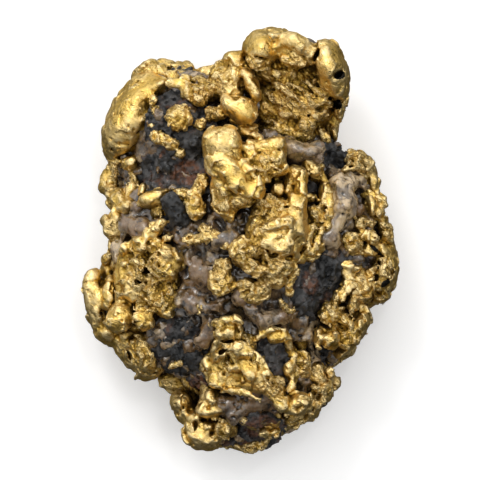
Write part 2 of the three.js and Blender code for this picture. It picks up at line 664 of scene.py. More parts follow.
def work_skin(clay: Clay, relief: Relief, rough: Sequence[Spot], calm: Sequence[Spot], seed: int) -> None:
    """Roughens the skin of a piece.

    Args:
        clay: the piece.
        relief: how its skin is worked.
        rough: where it is crumpled as well.
        calm: where it stays smooth.
        seed: which noise and which chance.
    """
    noise, facets = Noise(seed), Facets(seed)
    draw = np.random.default_rng(seed)
    area = clay.skin_area()
    chips, *sizes = relief.chips
    for at, away in zip(*clay.skin_samples(int(chips * area), draw)):
        lean = away + draw.normal(size=3) * 0.16
        lean /= np.linalg.norm(lean)
        radius = draw.uniform(*sizes)
        if belonging(at[None], calm)[0] < 0.5:
            clay.chip(at - away * radius * draw.uniform(0.02, 0.14), lean, radius)
    numbers, places = clay.band(SKIN_BAND)
    quiet = 1 - 0.8 * belonging(places, calm)
    height, length = relief.swell
    change = -height * noise(places, length)
    height, length = relief.crease
    change -= quiet * height * (2.2 * np.abs(noise(places + APART["crease"], length)) - 0.7)
    height, length = relief.plates
    plate, seam = facets(places, length)
    change -= (0.4 + 0.6 * quiet) * height * plate
    change += quiet * relief.seam * ease_off(seam, 0.0, 0.16)
    height, length = relief.crack
    if height > 0:
        line = np.abs(noise(places + APART["crack"], length))
        gaping = ease_off(noise(places + APART["gape"], 1.6 * length), 0.25, -0.1)
        change += height * gaping * ease_off(line, 0.02, 0.13)
    height, length = relief.crumple
    if rough and height > 0:
        turn, stretch = relief.folds
        u, v = turned(places[:, 0], places[:, 1], turn)
        drawn = np.stack([u / stretch, v, places[:, 2]], 1)
        drawn += 0.5 * np.stack([noise(places + FOLDS_APART["drift"] * axis, 1.9) for axis in (1, 2, 3)], 1)
        folds = 0.75 * (2.2 * np.abs(noise(drawn + FOLDS_APART["fold"], 1.35 * length)) - 0.7)
        for share, size in WRINKLES:
            plate, seam = facets(drawn + FOLDS_APART["wrinkle"] * size, size * length)
            folds += share * (plate - 0.3 * ease_off(seam, 0.0, 0.2))
        change -= belonging(places, rough) * height * folds
    height, length = relief.grain
    change -= quiet * height * noise(places + APART["grain"], length)
    clay.skin.flat[numbers] += np.clip(change, -PROUDEST, DEEPEST)
    cells, *sizes = relief.cells
    for at, away in zip(*clay.skin_samples(int(cells * area), draw)):
        radius = draw.uniform(*sizes)
        if not rough or belonging(at[None], rough)[0] > 0.3:
            clay.pit(at - away * radius * draw.uniform(0.0, 0.7), radius)
    pits, *sizes = relief.pits
    for at, away in zip(*clay.skin_samples(int(pits * area), draw)):
        clay.pit(at - away * 0.05, draw.uniform(*sizes))


# The rock that the gold grew through


@dataclass
class Bedrock:
    """The blocks of rock, and where each mineral shows."""

    girdle: float = 13.2
    inset: float = 0.9
    step: float = 0.26
    sway: float = 1.0
    corners: tuple[Point, Point] = ((-24, -33, LOWEST), (24, 32, 25.5))
    block_room: float = 4.0
    solid_gap: float = 1.0
    shelf_soft: float = 3.0
    block_soft: float = 2.0
    top: tuple[float, float] = (14.0, 9.0)
    blocks: Lumps = (
        Lump((-0.2, -1, 10.5), (15.6, 21, 12.6), 0, 3), Lump((-9.4, 15.6, 10), (8.4, 10.4, 9.2), 14, 3),
        Lump((13.6, 0.6, 9.8), (7.2, 11.4, 9), 4, 3), Lump((2.6, -21, 9.6), (9, 8, 9.2), 12, 3),
        Lump((7.4, 13, 10.2), (7, 4.6, 9.4), 0, 2), Lump((-10.2, -12.4, 9.6), (6, 9.4, 9.2), 40, 3),
        Lump((-14.6, 3, 9.4), (4.2, 8.4, 8.8), -8, 2.5), Lump((-0.4, 20.8, 10.2), (7.2, 4.8, 7.4), 20, 2),
    )
    ironstone: Patches = (
        Patch(-9.4, 17, 5.4, 6.2), Patch(-9.6, 10.4, 6.2, 4.6), Patch(-9.8, 4.2, 2.5, 2.8),
        Patch(-9, -18.2, 4.3, 7.6, 24), Patch(11.2, -5.2, 4.2, 6.6, -10), Patch(15, 13.2, 3.6, 2.8),
        Patch(4.6, -16.8, 2.7, 3.8, 20), Patch(9.2, 7.2, 2.2, 3.2), Patch(3, -28.2, 3.6, 2.4),
        Patch(17.8, -4.4, 2.4, 3), Patch(13.8, -18, 2, 2.4),
    )

    def height(self, x: float, y: float) -> float:
        """Finds how high the rock stands.

        Args:
            x: place across the specimen.
            y: place along it.

        Returns:
            The height of the rock's top there, or of the girdle where there is no block.
        """
        best = self.girdle
        for block in self.blocks:
            u, v = turned(x - block.at[0], y - block.at[1], block.turn)
            u, v = u / block.radii[0], v / block.radii[1]
            if u * u + v * v < 1:
                best = max(best, block.at[2] + block.radii[2] * math.sqrt(1 - u * u - v * v))
        return best

    def settle(self, shape: Shape, raised: float = 0.0) -> Shape:
        """The shape with its height counted from the rock's top, and raised a little more."""
        if isinstance(shape, Strand):
            path = tuple((x, y, self.height(x, y) + lift + raised, r) for x, y, lift, r in shape.path)
            return replace(shape, path=path)
        x, y, lift = shape.at
        return replace(shape, at=(x, y, self.height(x, y) + lift + raised))

    def model(self) -> Clay:
        """The bare rock, with no relief yet: the solid, a little smaller, and the blocks that stand on it."""
        clay = Clay(*self.corners, self.step, self.sway)
        for block in self.blocks:
            clay.press(block, self.block_room)
        coarse, places = lattice_over(clay.axes, self.solid_gap)
        solid = fill_in(self._solid_distance(places), coarse, clay.axes)
        shelf = (clay.axes[2] - self.girdle).reshape(1, 1, -1)
        girdle = -blend_min(-(solid + self.inset), -shelf, self.shelf_soft)
        clay.skin = blend_min(clay.skin, girdle, self.block_soft)
        return clay

    @staticmethod
    def _solid_distance(places: Array) -> Array:
        """Measures the solid in the frame.

        Args:
            places: places in millimetres, one row each.

        Returns:
            The distance from each place to the solid, negative inside.
        """
        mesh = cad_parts[NODE].data
        tree = BVHTree.FromPolygons([v.co for v in mesh.vertices], [p.vertices[:] for p in mesh.polygons])
        found = np.empty(len(places), np.float32)
        for number, place in enumerate(places):
            point = Vector(place.tolist()) * MILLIMETRE
            near, normal, _, away = tree.find_nearest(point)
            found[number] = math.copysign(away, (point - near).dot(normal)) / MILLIMETRE
        return found

    def iron_share(self, places: Array, noise: Noise) -> Array:
        """How far each place is inside an ironstone area.

        Args:
            places: places in millimetres, one row each.
            noise: what frays the edge of the areas.

        Returns:
            One value for each place. Above 0 is ironstone.
        """
        best = np.full(len(places), -1.0, np.float32)
        for patch in self.ironstone:
            best = np.maximum(best, patch.share(places))
        on_top = ease_off(places[:, 2], *self.top)
        flank = 1.6 * noise(places + 3.0, 9.5) - 0.35
        ragged = 0.2 * noise(places, 1.9) + 0.12 * noise(places + 50, 0.8)
        return best * on_top + flank * (1 - on_top) + ragged


@dataclass
class Quartz:
    """Smoky quartz: the body of the rock, grown in rounded grains."""

    name: str = "smoky_quartz_body"
    mineral: Mineral = Mineral.QUARTZ
    triangles: int = 148000
    relief: Relief = Relief(
        swell=(0.45, 4.6), crease=(0.3, 2.5), plates=(0.3, 1.6), crumple=(0, 1.15), grain=(0.05, 0.7),
        pits=(16, 0.2, 0.4), chips=(20, 0.7, 1.5),
    )
    seed: int = 71
    grains_per_cm2: float = 20.0
    grain_radius: tuple[float, float] = (0.7, 1.7)
    grain_depth: tuple[float, float] = (0.3, 0.65)
    cluster_length: float = 7.0
    cluster_level: float = -0.15
    calm_reach: float = 1.4
    calm_radius: float = 2.8
    flows: Strands = (
        Strand(((13, 11, 0, 1.7), (14.8, 8.2, 0.5, 2.2), (15, 5.2, 0.4, 2.2), (13.9, 2, -0.2, 1.6))),
        Strand(((7.4, -6.4, -0.6, 1), (8.4, -10, -0.5, 1), (10.2, -13.4, -0.2, 1.1),
            (11.2, -17.2, 0.2, 1.3), (10.9, -20.6, 0, 1.2))),
        Strand(((-17.4, 2.6, 1.6, 1.2), (-18.2, -0.8, 1.6, 1.2), (-18.2, -4, 1.2, 1))),
    )
    bosses: Lumps = (
        Lump((8.5, 13.6, 0.9), (3.6, 2.2, 2.5), -10), Lump((-15.2, 1.9, 1.4), (2, 1.6, 1.7)),
        Lump((-6.4, -4.2, 0.6), (1.7, 2.2, 1.6)), Lump((-2.6, 0.2, 0.5), (2.4, 2, 1.6)),
        Lump((-4.2, -9.6, 0.4), (1.8, 1.6, 1.5)), Lump((-7, -9.2, 0.3), (1.7, 1.9, 1.5)),
        Lump((-4.9, -13.6, 0.3), (1.6, 2.2, 1.6), -20), Lump((2, -10.4, 0.4), (2.3, 1.9, 1.6)),
        Lump((-0.9, -8.9, 0.4), (1.5, 1.7, 1.5)), Lump((5.6, -10.6, 0.3), (1.7, 1.5, 1.4)),
        Lump((-2, -24.6, 0.6), (2.6, 1.9, 1.6)), Lump((17.3, 8.9, 2), (2.5, 2.2, 2.4)),
        Lump((-6.9, 23.2, 0.7), (1.7, 1.3, 1.8)), Lump((13.6, 1, 0.3), (1.6, 1.3, 1.4)),
    )
    smooth: Lumps = (
        Lump((14.9, 6.6, 0.5), (2.5, 3.4, 2.6), 8, 0.3, 2.4),
        Lump((8.7, 13.5, 0.8), (3, 1.7, 2.9), -10, 0.3),
    )
    fair: Patches = (
        Patch(15, 6.2, 2.7, 6, 6), Patch(10.6, -15.6, 1.8, 4.6, -8), Patch(-18.4, -1, 1.6, 5, 6),
        Patch(17.6, 9, 2.2, 2.2), Patch(7.2, 14.2, 1.6, 0.9), Patch(-6.2, -10, 1.6, 1.6),
    )
    dark: Patches = (
        Patch(-7, -6, 3.6, 6, 10), Patch(-6.4, -14.6, 2.4, 4, 20), Patch(-15, 4.6, 4.4, 3.4, 20),
        Patch(-15.4, 1.6, 4.2, 3.4), Patch(18, 5, 1.6, 3), Patch(7.6, -11.2, 3.2, 2.6, 20),
        Patch(1.6, -24.4, 6, 3, -14), Patch(-0.6, -8.8, 5, 2.2), Patch(-9.6, 1.6, 2.8, 2.4),
    )

    def model(self, rock: Clay, bed: Bedrock) -> Clay:
        """Works the bare rock into quartz, and leaves the bare rock's own distances unchanged.

        Args:
            rock: the bare rock.
            bed: what heights are counted from.

        Returns:
            The finished clay.
        """
        clay = rock.twin()
        for shape in self.bosses + self.flows:
            clay.press(bed.settle(shape))
        draw = np.random.default_rng(self.seed)
        places, away = clay.skin_samples(int(self.grains_per_cm2 * clay.skin_area()), draw)
        clustered = Noise(self.seed + 1)(places, self.cluster_length) > self.cluster_level
        for at, out in zip(places[clustered], away[clustered]):
            radius = draw.uniform(*self.grain_radius)
            clay.bead(at - out * radius * draw.uniform(*self.grain_depth), radius)
        for boss in self.smooth:
            clay.press(bed.settle(boss))
        calm = [Spot(bed.settle(boss).at, self.calm_reach * max(boss.radii)) for boss in self.bosses[:2]]
        calm += [Spot(place[:3], self.calm_radius) for place in bed.settle(self.flows[0]).path]
        work_skin(clay, self.relief, (), calm, self.seed + 2)
        clay.trim_below(RESTING_FACE)
        return clay


@dataclass
class Ironstone:
    """Flaky blue-black ironstone that shows between the gold."""

    name: str = "ironstone_body"
    mineral: Mineral = Mineral.IRONSTONE
    triangles: int = 105000
    seed: int = 81
    proud: float = 0.5
    thickness: float = 2.2
    fringe: float = 1.2
    edge_slope: float = 2.6
    relief: Relief = Relief(
        swell=(0.4, 3), crease=(0.16, 1.2), plates=(0.7, 1.3), crack=(0.4, 1.8), crumple=(0, 1.15),
        grain=(0.14, 0.5), pits=(40, 0.15, 0.35), chips=(14, 0.7, 1.6),
    )
    crystals: Lumps = (
        Lump((-9.9, 5, 0.9), (1.9, 2.2, 1.7), 20), Lump((15.2, 12.6, 1.4), (1.3, 1.1, 1.4)),
        Lump((-7, 15.4, 0.6), (1.6, 1.5, 1)),
    )
    fair: Patches = (
        Patch(-8.2, 10.4, 2.6, 2.2), Patch(10.4, -5.8, 1.5, 2.2), Patch(-7.2, -21.6, 1.8, 2.4),
        Patch(3, -28, 3, 2),
    )
    dark: Patches = (
        Patch(11.8, -3.2, 3, 3), Patch(-9.4, -18.6, 3, 4), Patch(-9.9, 5, 2.4, 2.4),
        Patch(-6.6, 14.6, 1.8, 2), Patch(14.6, 12.6, 2.4, 2),
    )

    def model(self, rock: Clay, bed: Bedrock) -> Clay:
        """Works the skin of the bare rock into ironstone, where there is ironstone.

        Args:
            rock: the bare rock.
            bed: where there is ironstone, and what heights are counted from.

        Returns:
            The finished clay.
        """
        clay = rock.twin()
        for crystal in self.crystals:
            clay.press(bed.settle(crystal))
        clay.skin -= self.proud
        work_skin(clay, self.relief, (), (), self.seed)
        numbers, places = clay.band(self.thickness + self.fringe)
        region = np.full(clay.skin.shape, FAR, np.float32)
        region.flat[numbers] = -self.edge_slope * bed.iron_share(places, Noise(self.seed + 1))
        clay.skin = np.maximum.reduce([clay.skin, region, -(rock.skin + self.thickness)])
        clay.trim_below(RESTING_FACE)
        return clay


# The gold


@dataclass
class GoldMass:
    """One mass of native gold: what is pressed together, how its skin is worked and what is cut out."""

    name: str
    seed: int
    lumps: Lumps = ()
    strands: Strands = ()
    relief: Relief = Relief()
    rough: Spots = ()
    calm: Spots = ()
    holes: Lumps = ()
    cracks: Strands = ()
    inlays: Patches = ()
    swollen: float = 0.2
    lift: float = 0.4
    step: float = 0.2
    sway: float = 0.45
    room: float = 1.6
    on_rock: bool = True
    fewest: int = 120

    def model(self, bed: Bedrock) -> Clay:
        """Models the mass.

        Args:
            bed: the rock that it grew on.

        Returns:
            The finished clay.
        """
        shapes = self._placed(bed, self.lumps + self.strands, self.lift)
        rough, calm = self._placed(bed, self.rough), self._placed(bed, self.calm)
        clay = Clay(*self._box(shapes), self.step, self.sway)
        for shape in shapes:
            clay.press(shape)
        clay.skin -= self.swollen if self.on_rock else 0.0
        for hole in self._placed(bed, self.holes, self.lift):
            clay.cut(hole)
        work_skin(clay, self.relief, rough, calm, self.seed)
        for crack in self._placed(bed, self.cracks, self.lift):
            clay.cut(crack)
        clay.trim_below(RESTING_FACE)
        clay.rough = rough
        return clay

    def _placed(self, bed: Bedrock, shapes: Sequence[Shape], raised: float = 0.0) -> tuple[Shape, ...]:
        """The shapes with their heights counted from the rock, unless the mass stands free."""
        return tuple(bed.settle(shape, raised) for shape in shapes) if self.on_rock else tuple(shapes)

    def _box(self, shapes: Sequence[Lump | Strand]) -> tuple[Array, Array]:
        """Finds the box that holds every shape, with room for relief.

        Args:
            shapes: what is pressed together.

        Returns:
            The lowest and the highest corner.
        """
        corners = []
        for shape in shapes:
            if isinstance(shape, Lump):
                wide, widest = max(shape.radii[:2]), max(shape.radii)
                radii = (wide, wide, shape.radii[2]) if shape.turn else shape.radii
                balls = [(shape.at, (widest,) * 3 if shape.tilt else radii)]
            else:
                balls = [(place, radius) for *place, radius in shape.path]
            for place, radii in balls:
                corners += [np.asarray(place) - radii - self.room, np.asarray(place) + radii + self.room]
        low, high = np.min(corners, axis=0), np.max(corners, axis=0)
        low[2] = max(low[2], LOWEST)
        return low, high


@dataclass
class Crown(GoldMass):
    """The crown nugget at the head: smooth brows over a folded bowl."""

    name: str = "crown_nugget"
    seed: int = 101
    on_rock: bool = False
    lumps: Lumps = (
        Lump((8.6, 22.6, 12.4), (6.4, 7.4, 6.6), 0, 1), Lump((5, 19.8, 12.2), (3.4, 4.2, 4.6), 0, 1),
        Lump((3.9, 20.4, 13), (2.8, 4.8, 4.8), 8, 0.8),
        Lump((6.2, 17.2, 14.6), (3.2, 2, 3.4), -10, 0.6, 2.4),
        Lump((9.2, 16.2, 14.6), (2.2, 1.8, 3.6), 20, 0.4, 2.4),
        Lump((8.7, 22.8, 8.4), (6, 6.4, 6.4), 0, 1.5), Lump((6.4, 25.6, 15.6), (3, 2.6, 4), 0, 1),
        Lump((5.8, 29.4, 17.2), (1.6, 1.8, 4.6), 0, 0.4), Lump((3, 28.7, 17.6), (2.8, 2.8, 5.2), 0, 0.8),
        Lump((8, 28, 17.4), (3, 2.4, 5.2), -24, 0.2, 2.3), Lump((4.6, 27.7, 9), (3.8, 4.6, 5.6), 0, 1.5),
        Lump((3.4, 27, 14.4), (3, 4.2, 5.4), 0, 1), Lump((2.4, 26.9, 19.4), (1.9, 1.2, 2.2), -14),
        Lump((8.4, 27.8, 19.8), (2.5, 1.4, 2.4), -16, 0.5, 2.6),
        Lump((13.5, 25.5, 17.2), (2.7, 4.8, 6.4), 20, 0.4),
        Lump((12.5, 27.8, 18.4), (2.1, 1.9, 4.4), 0, 0.8),
        Lump((14.9, 22.6, 18.6), (1.1, 1.9, 2.6), 10, 0.2), Lump((15, 19.5, 15.8), (0.75, 1.4, 2.8), 0, 0.3),
        Lump((7.5, 19.3, 17), (1.9, 1, 1.8), -10, 0.25, 2.6),
        Lump((9.7, 17.6, 16.6), (1.5, 1.6, 2.2), 0, 0.25, 2.6),
        Lump((11.3, 18.9, 17.4), (1, 0.9, 1.5), 0, 0.25), Lump((12.4, 19.3, 17.6), (0.8, 0.9, 1.5), 0, 0.25),
        Lump((12.3, 20.9, 17.9), (1.7, 0.75, 1.5), -12, 0.25, 2.8),
        Lump((6.6, 17.2, 15.6), (1.6, 1, 1.8), -20, 0.3), Lump((13.9, 16.3, 13.6), (0.7, 1.4, 2.6), 14, 0.3),
    )
    strands: Strands = (
        Strand(((6.3, 30.2, 20.9, 1.2), (7.7, 29.7, 21.6, 1.45), (9.1, 28.9, 21.8, 1.4),
            (10.3, 28, 21.2, 1.2)), 0.2),
        Strand(((3.9, 31, 21.6, 0.35), (4.6, 30.4, 22.2, 0.4), (5.3, 30.8, 21.8, 0.35)), 0.1),
        Strand(((6.6, 27.4, 21.2, 0.8), (8.4, 26.9, 21.6, 1), (10.2, 26.7, 21, 0.8)), 0.2),
        Strand(((10.2, 28.9, 20.2, 0.8), (11.8, 28.6, 20.4, 0.8)), 0.2),
        Strand(((5.2, 24.2, 19, 0.55), (7.4, 22.6, 19.1, 0.5), (9.6, 20.4, 18.6, 0.45)), 0.3),
        Strand(((7.2, 24, 19.2, 0.5), (9, 22.8, 19.2, 0.5), (10.8, 20.8, 18.7, 0.45)), 0.3),
        Strand(((8.8, 24.2, 19.2, 0.45), (10.6, 22.9, 19.2, 0.5), (12.6, 21.8, 18.8, 0.5)), 0.3),
        Strand(((4, 22.4, 18, 0.5), (6, 20.8, 18, 0.5), (6.6, 19, 17.2, 0.4)), 0.3),
        Strand(((11.2, 25.2, 19.9, 0.3), (10.4, 23.2, 19.9, 0.3)), 0.15),
        Strand(((4, 25.9, 19.6, 0.7), (5.4, 25.4, 19.4, 0.6)), 0.2),
        Strand(((11.8, 16.7, 16.2, 0.75), (12.5, 15.5, 16, 0.85), (12.9, 14.3, 15.4, 0.55)), 0.2),
    )
    rough: Spots = (
        Spot((7.4, 21.8, 18.8), 4.6), Spot((10.8, 22.4, 18.8), 3), Spot((8.4, 26.9, 20.4), 2.4),
        Spot((2.4, 26.8, 20.2), 2.4), Spot((10.6, 18.2, 18), 3.4), Spot((5.4, 17.6, 16.4), 3),
        Spot((11, 29.4, 20.6), 1),
    )
    calm: Spots = (
        Spot((2.9, 30, 21), 3.4), Spot((7.6, 30.4, 23), 2.6), Spot((10, 29.2, 23.6), 2),
        Spot((14.4, 26.4, 21), 3.2),
    )
    relief: Relief = Relief(
        swell=(0.2, 3.4), crease=(0.1, 2.2), plates=(0.35, 2.2), crumple=(0.26, 0.75), folds=(-42, 3.4),
        grain=(0.04, 0.55), pits=(20, 0.14, 0.26),
    )
    holes: Lumps = (
        Lump((14.8, 24.9, 22.6), (0.75, 0.35, 3), 32), Lump((14.6, 20.5, 19), (0.55, 0.6, 3)),
        Lump((11.3, 27.4, 22.8), (0.5, 1.1, 3.6), -24), Lump((3, 27.6, 22.2), (1.2, 0.2, 1.8), -14),
    )
    inlays: Patches = (Patch(14.8, 24.8, 1.15, 0.75, 20), Patch(14.6, 20.6, 0.95, 0.95))


@dataclass
class Saddle(GoldMass):
    """The rough saddle between the crown and the shoulder, with a smooth lump and a few loose grains."""

    name: str = "saddle_gold"
    seed: int = 111
    lift: float = 1.3
    lumps: Lumps = (
        Lump((-1.6, 24, 1), (2.8, 2.1, 2.8), 18, 0.5, 2.5),
        Lump((-4.4, 22.9, 0.9), (2.6, 1.5, 2.4), 20, 0.5, 2.6),
        Lump((-7.2, 22.5, 0.4), (2, 0.9, 1.6), 18, 0.5, 2.4),
        Lump((0.4, 19.8, 2), (2.1, 1.8, 2.3), -25, 0.25, 2.2),
        Lump((-1.6, 20.4, 1.5), (1.7, 1.3, 2.2), -10, 0.6, 2.3),
        Lump((-3.9, 19.5, 0.8), (1.7, 1.1, 1.8), 4, 0.3, 2.5),
        Lump((1.4, 23.4, 2), (0.9, 2.6, 2.6), 27, 0.2, 2.5),
        Lump((0.1, 25.5, 2.8), (1.4, 1.1, 2.6), 20, 0.5, 2.5),
        Lump((-1.2, 27, 4), (1.4, 1, 1.9), 20, 0.2, 2.5),
        Lump((-3.5, 24.9, 2.2), (1.3, 0.9, 1.7), -30, 0.2, 2.6),
        Lump((-1.8, 25.6, 1.8), (2.6, 1.3, 3), 0, 0.4), Lump((-6.4, 21.2, 0.4), (1.1, 0.8, 1.2), -20, 0.25),
    )
    strands: Strands = (
        Strand(((0.2, 17.2, 1.1, 0.75), (1.6, 16.2, 1, 0.75), (3.1, 15.3, 0.8, 0.4)), 0.2),
        Strand(((-1.8, 18.3, 0.6, 0.5), (0.2, 17.9, 0.9, 0.6), (1.9, 17, 0.9, 0.5)), 0.2),
        Strand(((-11, 24.2, 1.6, 0.6), (-9.5, 23.9, 1.4, 0.7), (-8.4, 23.2, 0.9, 0.6)), 0.2),
        Strand(((-9.2, 24.2, 1.8, 0.45), (-8, 24.3, 1.8, 0.5), (-7.2, 24, 1.6, 0.4)), 0.2),
        Strand(((-6.9, 24, 1.6, 0.35), (-5.8, 24.1, 1.4, 0.45), (-4.8, 23.8, 1, 0.4)), 0.2),
    )
    rough: Spots = (
        Spot((-2.4, 24.4, 3.4), 3.4), Spot((-6.4, 22.8, 2.6), 3), Spot((-3.9, 19.4, 3), 1.6),
    )
    calm: Spots = (Spot((0, 20, 5.2), 2.6),)
    relief: Relief = Relief(swell=(0.2, 3.2), crease=(0.1, 1.5), crumple=(0.4, 1))


@dataclass
class Shoulder(GoldMass):
    """The big smooth shoulder on the upper left, pitted, with a ragged inner edge."""

    name: str = "shoulder_gold"
    seed: int = 121
    on_rock: bool = False
    lumps: Lumps = (
        Lump((-16.2, 19, 10.6), (4, 7.7, 7.6), -27, 1.2),
        Lump((-18.4, 16.2, 11.2), (2.3, 3.6, 6.2), -12, 1.2),
        Lump((-12.4, 24.2, 16.6), (0.8, 0.5, 1.2), 30, 0.2, 2.8),
        Lump((-13.4, 21.2, 17.4), (0.5, 0.8, 1.2), -30, 0.2, 2.8),
        Lump((-13.1, 19.8, 17.4), (0.8, 0.45, 1.2), 20, 0.2, 2.8),
        Lump((-13.5, 17.6, 17.2), (0.6, 0.8, 1.2), 10, 0.2, 2.8),
        Lump((-13.4, 23.4, 12.6), (1.8, 2.1, 4.8), -30, 0.8),
        Lump((-14.6, 18.2, 15.8), (1.5, 2.4, 1.9), -10, 0.6), Lump((-17, 11.9, 14), (1.5, 1.5, 2), 30, 0.25),
        Lump((-16.4, 9.6, 14), (0.9, 1.5, 1.8), 20, 0.3), Lump((-15.2, 8, 16.2), (0.7, 1.1, 1.2), -10, 0.3),
    )
    strands: Strands = (
        Strand(((-19.2, 14.4, 12, 0.9), (-19.5, 12.8, 11.6, 0.7), (-19.4, 10.4, 11, 0.5),
            (-19, 8, 10.4, 0.6), (-18.1, 7, 11.4, 0.7)), 0.2),
        Strand(((-18.9, 13.2, 13.4, 0.4), (-18.9, 11.4, 13, 0.4), (-19.3, 10, 12.4, 0.4)), 0.2),
    )
    rough: Spots = (
        Spot((-13.8, 19.4, 17.2), 2.2), Spot((-14.6, 16.8, 17), 1.6), Spot((-16.2, 23.2, 15), 1.2),
        Spot((-16.6, 9.6, 14.6), 2), Spot((-19.4, 10.6, 11.6), 2.6),
    )
    calm: Spots = (Spot((-17.2, 19.2, 17), 5), Spot((-13.6, 24.4, 17), 2.4))
    relief: Relief = Relief(
        swell=(0.22, 3.8), crease=(0.08, 2), plates=(0.3, 2.4), grain=(0.04, 0.55), pits=(30, 0.12, 0.24),
    )
    holes: Lumps = (
        Lump((-17, 17.4, 18.8), (0.22, 0.7, 1.2), 8), Lump((-19.7, 14.6, 14.2), (0.25, 0.9, 2), 10),
        Lump((-18, 13, 15), (1.6, 0.25, 2), 14),
    )


@dataclass
class Knuckle(GoldMass):
    """The bright knuckle in the middle, the highest gold: a smooth head, a flat-sided shaft and a ledge."""

    name: str = "knuckle_gold"
    seed: int = 131
    lumps: Lumps = (
        Lump((-3, 14.2, 4), (3.1, 2.9, 4.4), 10, 1, 2.3),
        Lump((-2.7, 11.2, 2.8), (2.5, 2.2, 4), -30, 0.9, 2.6),
        Lump((-1, 10.2, 3.2), (3.6, 1.5, 4), -52, 0.35, 3.4, tilt=10),
        Lump((1.5, 7.9, 2.8), (1.9, 1.2, 3.2), -30, 0.4, 3.2),
        Lump((-2.6, 8.2, 1.2), (1.9, 2.2, 3.4), 20, 0.5, 2.6),
        Lump((-2.3, 5.9, 0.8), (1.8, 1.4, 2.8), -10, 0.4, 2.8),
        Lump((-0.2, 6.5, 1.6), (2.2, 1.3, 2.8), 18, 0.35, 2.8),
        Lump((-1.7, 4.2, 0.2), (0.8, 1.4, 2), 6, 0.5),
        Lump((0.7, 12.6, 2.6), (1.4, 2.6, 2.9), -20, 0.5, 2.6),
        Lump((3.4, 13.7, 3), (3.3, 1.3, 2.8), 2, 0.35, 3.4),
        Lump((3.4, 11.5, 2.6), (3, 1.8, 2.8), 8, 0.3, 3.4, tilt=-12),
        Lump((3, 9.6, 2), (1.3, 1.3, 2.5), 20, 0.3, 2.8),
        Lump((5.3, 7.9, 0.9), (1, 1.15, 1.4), 0, 0.12, 2.6),
    )
    strands: Strands = (
        Strand(((-0.2, 11.8, 6.4, 0.5), (1.2, 10, 6, 0.5), (2.8, 7.9, 5.4, 0.5)), 0.4),
        Strand(((-3.8, 12.4, 6.4, 0.6), (-2.6, 9.8, 5.6, 0.5), (-0.6, 7.6, 4.6, 0.45)), 0.5),
        Strand(((1, 12.7, 5.2, 0.3), (3.4, 12.5, 5.2, 0.3), (5.6, 12.5, 4.8, 0.3)), 0.15),
        Strand(((1.6, 11, 5.2, 0.3), (3.4, 10.7, 5.1, 0.3), (5.4, 10.9, 4.8, 0.3)), 0.15),
    )
    rough: Spots = (
        Spot((3.6, 11.2, 4.6), 2.6), Spot((5.4, 13.6, 4.8), 1.6), Spot((-2.6, 6.2, 3.6), 2.2),
        Spot((0.4, 6.2, 3.6), 1.6),
    )
    calm: Spots = (Spot((-3, 14.4, 8), 3.2), Spot((-1, 10.2, 6.8), 2))
    relief: Relief = Relief(
        swell=(0.16, 3), crease=(0.08, 2.1), plates=(0.5, 2.1), crumple=(0.3, 1.3), grain=(0.03, 0.55),
        pits=(30, 0.12, 0.22),
    )
    holes: Lumps = (Lump((0.4, 7.2, 6), (1.9, 0.14, 0.7), -34),)
    cracks: Strands = (
        Strand(((-4.2, 12, 8, 0.12), (-3.6, 12.1, 8.4, 0.2), (-2.8, 12.4, 8.6, 0.12))),
        Strand(((-2.3, 13.3, 8.6, 0.12), (-1.6, 13.7, 8.5, 0.2), (-0.9, 13.8, 8.2, 0.14))),
        Strand(((-1.1, 10.5, 7.2, 0.14), (-0.3, 10.1, 7.1, 0.22), (0.1, 10, 6.9, 0.12))),
        Strand(((-0.4, 5.3, 4.6, 0.14), (0.2, 5.9, 4.6, 0.22), (1, 6.3, 4.4, 0.14))),
        Strand(((2.5, 11.6, 5.9, 0.12), (3.6, 11.5, 5.9, 0.2), (4.6, 11.9, 5.7, 0.18),
            (5.6, 12.2, 5.2, 0.12))),
        Strand(((1, 13.4, 5.9, 0.12), (0.9, 11.4, 6, 0.2), (1.4, 9.7, 5.8, 0.2), (2.3, 8.7, 5.4, 0.14))),
    )


